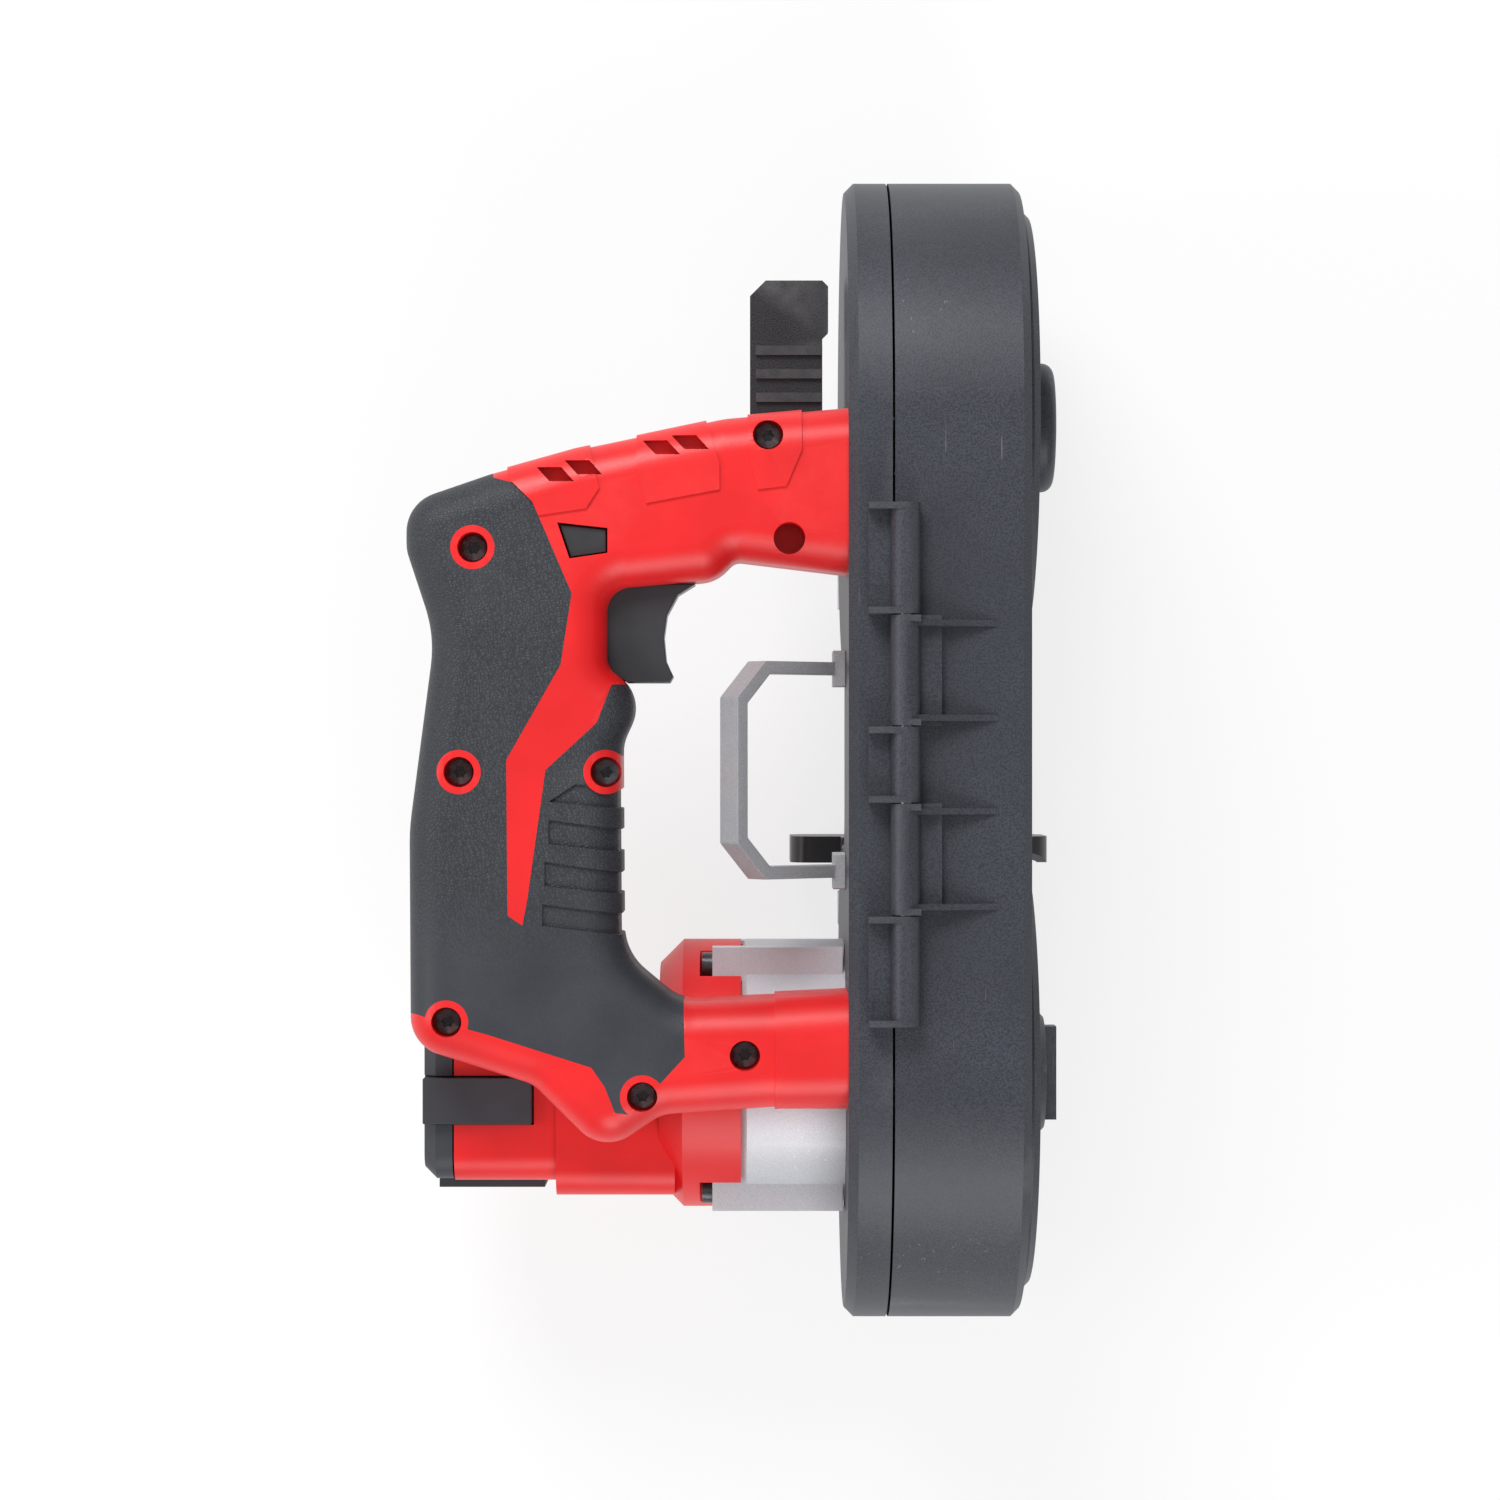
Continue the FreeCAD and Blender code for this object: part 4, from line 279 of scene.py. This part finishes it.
def coated_metal(name, color, pale, dip_shade, rubbed, roughness, grain_mm, depth_mm=0.06, metallic=0.15):
    """Powder coat with a fine orange-peel surface, painted shade in the dips of its grain, rubbed edges
    and a few scratches.
    """
    surface = Nodes(name)
    cloud = surface.noise(COAT_CLOUD_MM, detail=3.0)
    fine = surface.noise(grain_mm, detail=3.0)
    tint = surface.ramp(cloud, COAT_CLOUD_SPAN, color, pale)
    tint = surface.rubbed(surface.shaded_speckle(tint, dip_shade, grain_mm), rubbed, amount=0.8)
    tint = surface.scratches(tint, rubbed)
    gloss = surface.spread(fine, around(roughness, COAT_GLOSS))
    return surface.finish(tint, gloss, surface.bump(fine, depth_mm, strength=0.7), metallic)


def bare_metal(name, color, dull, roughness, grain_mm=0.6, stretch=(1, 1, 1)):
    """Machined or cast metal with a fine grain, which may run one way."""
    surface = Nodes(name)
    grain = surface.noise(grain_mm, detail=4.0, stretch=stretch)
    cloud = surface.noise(METAL_CLOUD_MM, detail=3.0)
    tint = surface.ramp(cloud, METAL_CLOUD_SPAN, dull, color)
    gloss = surface.spread(grain, around(roughness, METAL_GLOSS))
    relief = surface.bump(grain, METAL_GRAIN_DEPTH_MM, strength=0.5)
    return surface.finish(tint, gloss, relief, metallic=1.0)


# One finish for each material slot of the record.
MATERIALS = {
    "red_plastic": moulded_plastic("red_moulding", RED, RED_DEEP, RED_RUBBED, roughness=0.40),
    "soft_grip": soft_rubber("grip_rubber", GRIP, GRIP_DUSTY, GRIP_DIP_SHADE, GRIP_RUBBED,
                             cell_mm=0.85, depth_mm=0.09, smooth_end=True),
    "guard_grey": coated_metal("guard_coat", GUARD, GUARD_PALE, GUARD_DIP_SHADE, GUARD_RUBBED,
                               roughness=0.45, grain_mm=0.45),
    "case_silver": coated_metal("case_paint", SILVER_DULL, SILVER, SILVER_DIP_SHADE, SILVER_RUBBED,
                                roughness=0.42, grain_mm=0.3, depth_mm=0.02, metallic=0.2),
    "black_plastic": moulded_plastic("black_moulding", BLACK_WORN, BLACK, BLACK_RUBBED,
                                     roughness=0.34, grain_mm=0.4, depth_mm=0.02),
    "battery_dark": moulded_plastic("battery_moulding", GRIP_DUSTY, GRIP, GRIP_RUBBED, roughness=0.50),
    # BLACK here is painted shade for the dips of the oxide's grain.
    "black_steel": coated_metal("black_oxide", OXIDE, OXIDE_PALE, BLACK, OXIDE_RUBBED,
                                roughness=0.28, grain_mm=0.3, depth_mm=0.02, metallic=0.4),
    "plain_steel": bare_metal("plain_steel", STEEL, STEEL_DARK, roughness=0.32),
    "blade_steel": bare_metal("blade_steel", STEEL, STEEL_DARK, roughness=0.30, stretch=(1, 0.05, 1)),
    "loop_grey": coated_metal("loop_paint", LOOP, LOOP_PALE, LOOP_DIP_SHADE, LOOP_RUBBED,
                              roughness=0.44, grain_mm=0.35, depth_mm=0.03),
    "tyre_rubber": soft_rubber("tyre_rubber", RUBBER, GRIP, BLACK_DIP_SHADE, GRIP_RUBBED,
                               cell_mm=0.6, depth_mm=0.03),
    "wheel_cast": bare_metal("wheel_cast", SILVER, SILVER_DULL, roughness=0.42, grain_mm=0.4),
    "board_green": moulded_plastic("board", BOARD, BOARD, BOARD, roughness=0.45),
}
SLOTS = {row["node"]: row["material_slot"] for row in frame["record"]["subparts"]}

# Rounded edges: the usual width, the wider one along the handle's seams, and the one for thin pieces.
EDGE_ROUND = 0.35 * MM
SEAM_ROUND = 0.5 * MM
SEAM_NODES = ("grip_near", "grip_far", "handle_near_half", "handle_far_half")
THIN_ROUND = 0.15 * MM
THIN_NODES = ("saw_blade", "layshaft", "layshaft_gear", "output_gear", "motor_rotor", "handle_screws",
              "arm_screws", "front_roller_pins", "rear_roller_pins")
ROUND_STEPS = 2
ROUND_ABOVE = math.radians(38)
WELD_REACH = 0.002 * MM


def edge_width(name):
    """Width of a node's rounded edges."""
    if name in THIN_NODES:
        return THIN_ROUND
    if name in SEAM_NODES:
        return SEAM_ROUND
    return EDGE_ROUND


def dress_node(name, node):
    """Give a CAD node its material and softly rounded edges."""
    node.data.materials.clear()
    node.data.materials.append(MATERIALS[SLOTS[name]])
    for face in node.data.polygons:
        face.use_smooth = True
    weld = node.modifiers.new("weld", "WELD")
    weld.merge_threshold = WELD_REACH
    edge = node.modifiers.new("edge_round", "BEVEL")
    edge.width = edge_width(name)
    edge.segments = ROUND_STEPS
    edge.limit_method = "ANGLE"
    edge.angle_limit = ROUND_ABOVE
    edge.use_clamp_overlap = True
    normals = node.modifiers.new("flat_faces", "WEIGHTED_NORMAL")
    normals.keep_sharp = True


for node_name, node_object in frame["nodes"].items():
    dress_node(node_name, node_object)


# Stage: a pale floor just under the object, soft light from above, and the camera over the hinge side.
FLOOR_HALF = 12.0
FLOOR_DROP = 0.5 * MM
FLOOR_ROUGHNESS = 0.9
FLOOR_GLOW_SHARE = 0.75
WORLD_STRENGTH = 0.38
LAMP_TARGET = Vector((0, 0, 0.06))
WHEEL_PLANE = 62.5 * MM
CAMERA_RISE = 994 * MM
CAMERA_SIDE = 2.45 * MM
LENS_MM = 92.3
SENSOR_MM = 36.0
CLIP_START = 0.01


def floor_math(tree, operation, first):
    """Math node on a first value, with its second input left open."""
    node = tree.nodes.new("ShaderNodeMath")
    node.operation = operation
    tree.links.new(first, node.inputs[0])
    return node


def floor_material():
    """Pale floor that the camera and mirrors see as near white, with the object's shadow kept faint."""
    material = bpy.data.materials.new("floor")
    material.use_nodes = True
    tree = material.node_tree
    shader = tree.nodes["Principled BSDF"]
    shader.inputs["Base Color"].default_value = FLOOR
    shader.inputs["Roughness"].default_value = FLOOR_ROUGHNESS
    rays = tree.nodes.new("ShaderNodeLightPath")
    seen = rays.outputs["Is Camera Ray"]
    for kind in ("Is Glossy Ray", "Is Transmission Ray"):
        either = floor_math(tree, "MAXIMUM", seen)
        tree.links.new(rays.outputs[kind], either.inputs[1])
        seen = either.outputs["Value"]
    share = floor_math(tree, "MULTIPLY", seen)
    share.inputs[1].default_value = FLOOR_GLOW_SHARE
    glow = tree.nodes.new("ShaderNodeEmission")
    blend = tree.nodes.new("ShaderNodeMixShader")
    tree.links.new(share.outputs["Value"], blend.inputs["Fac"])
    tree.links.new(shader.outputs["BSDF"], blend.inputs[1])
    tree.links.new(glow.outputs["Emission"], blend.inputs[2])
    tree.links.new(blend.outputs["Shader"], tree.nodes["Material Output"].inputs["Surface"])
    return material


def add_floor():
    """Square floor under the object."""
    corners = [(-1, -1), (1, -1), (1, 1), (-1, 1)]
    mesh = bpy.data.meshes.new("floor")
    mesh.from_pydata([(x * FLOOR_HALF, y * FLOOR_HALF, 0) for x, y in corners], [], [(0, 1, 2, 3)])
    floor = bpy.data.objects.new("floor", mesh)
    floor.location.z = cad_low.z - FLOOR_DROP
    scene.collection.objects.link(floor)
    mesh.materials.append(floor_material())


def add_area(name, place, size, power):
    """Round area lamp that faces the object."""
    lamp = bpy.data.lights.new(name, "AREA")
    lamp.shape = "DISK"
    lamp.size = size
    lamp.energy = power
    lamp_object = bpy.data.objects.new(name, lamp)
    lamp_object.location = place
    lamp_object.rotation_mode = "QUATERNION"
    lamp_object.rotation_quaternion = (LAMP_TARGET - Vector(place)).to_track_quat("-Z", "Y")
    scene.collection.objects.link(lamp_object)


def add_world():
    """Even white light from all around."""
    world = bpy.data.worlds.new("studio")
    scene.world = world
    world.use_nodes = True
    background = world.node_tree.nodes["Background"]
    background.inputs["Color"].default_value = WHITE
    background.inputs["Strength"].default_value = WORLD_STRENGTH


def add_camera():
    """Camera that looks straight down at the plane of the wheel axes."""
    data = bpy.data.cameras.new("camera")
    data.lens = LENS_MM
    data.sensor_width = SENSOR_MM
    data.clip_start = CLIP_START
    camera = bpy.data.objects.new("camera", data)
    camera.location = (CAMERA_SIDE, 0, WHEEL_PLANE + CAMERA_RISE)
    scene.collection.objects.link(camera)
    scene.camera = camera


add_floor()
add_world()
add_area("key", place=(-0.35, 1.0, 1.1), size=0.7, power=15.0)
add_area("fill", place=(0.2, -1.1, 0.9), size=0.9, power=9.0)
add_area("side", place=(-1.1, -0.1, 0.8), size=0.6, power=4.0)
add_camera()
scene.view_settings.view_transform = "Standard"
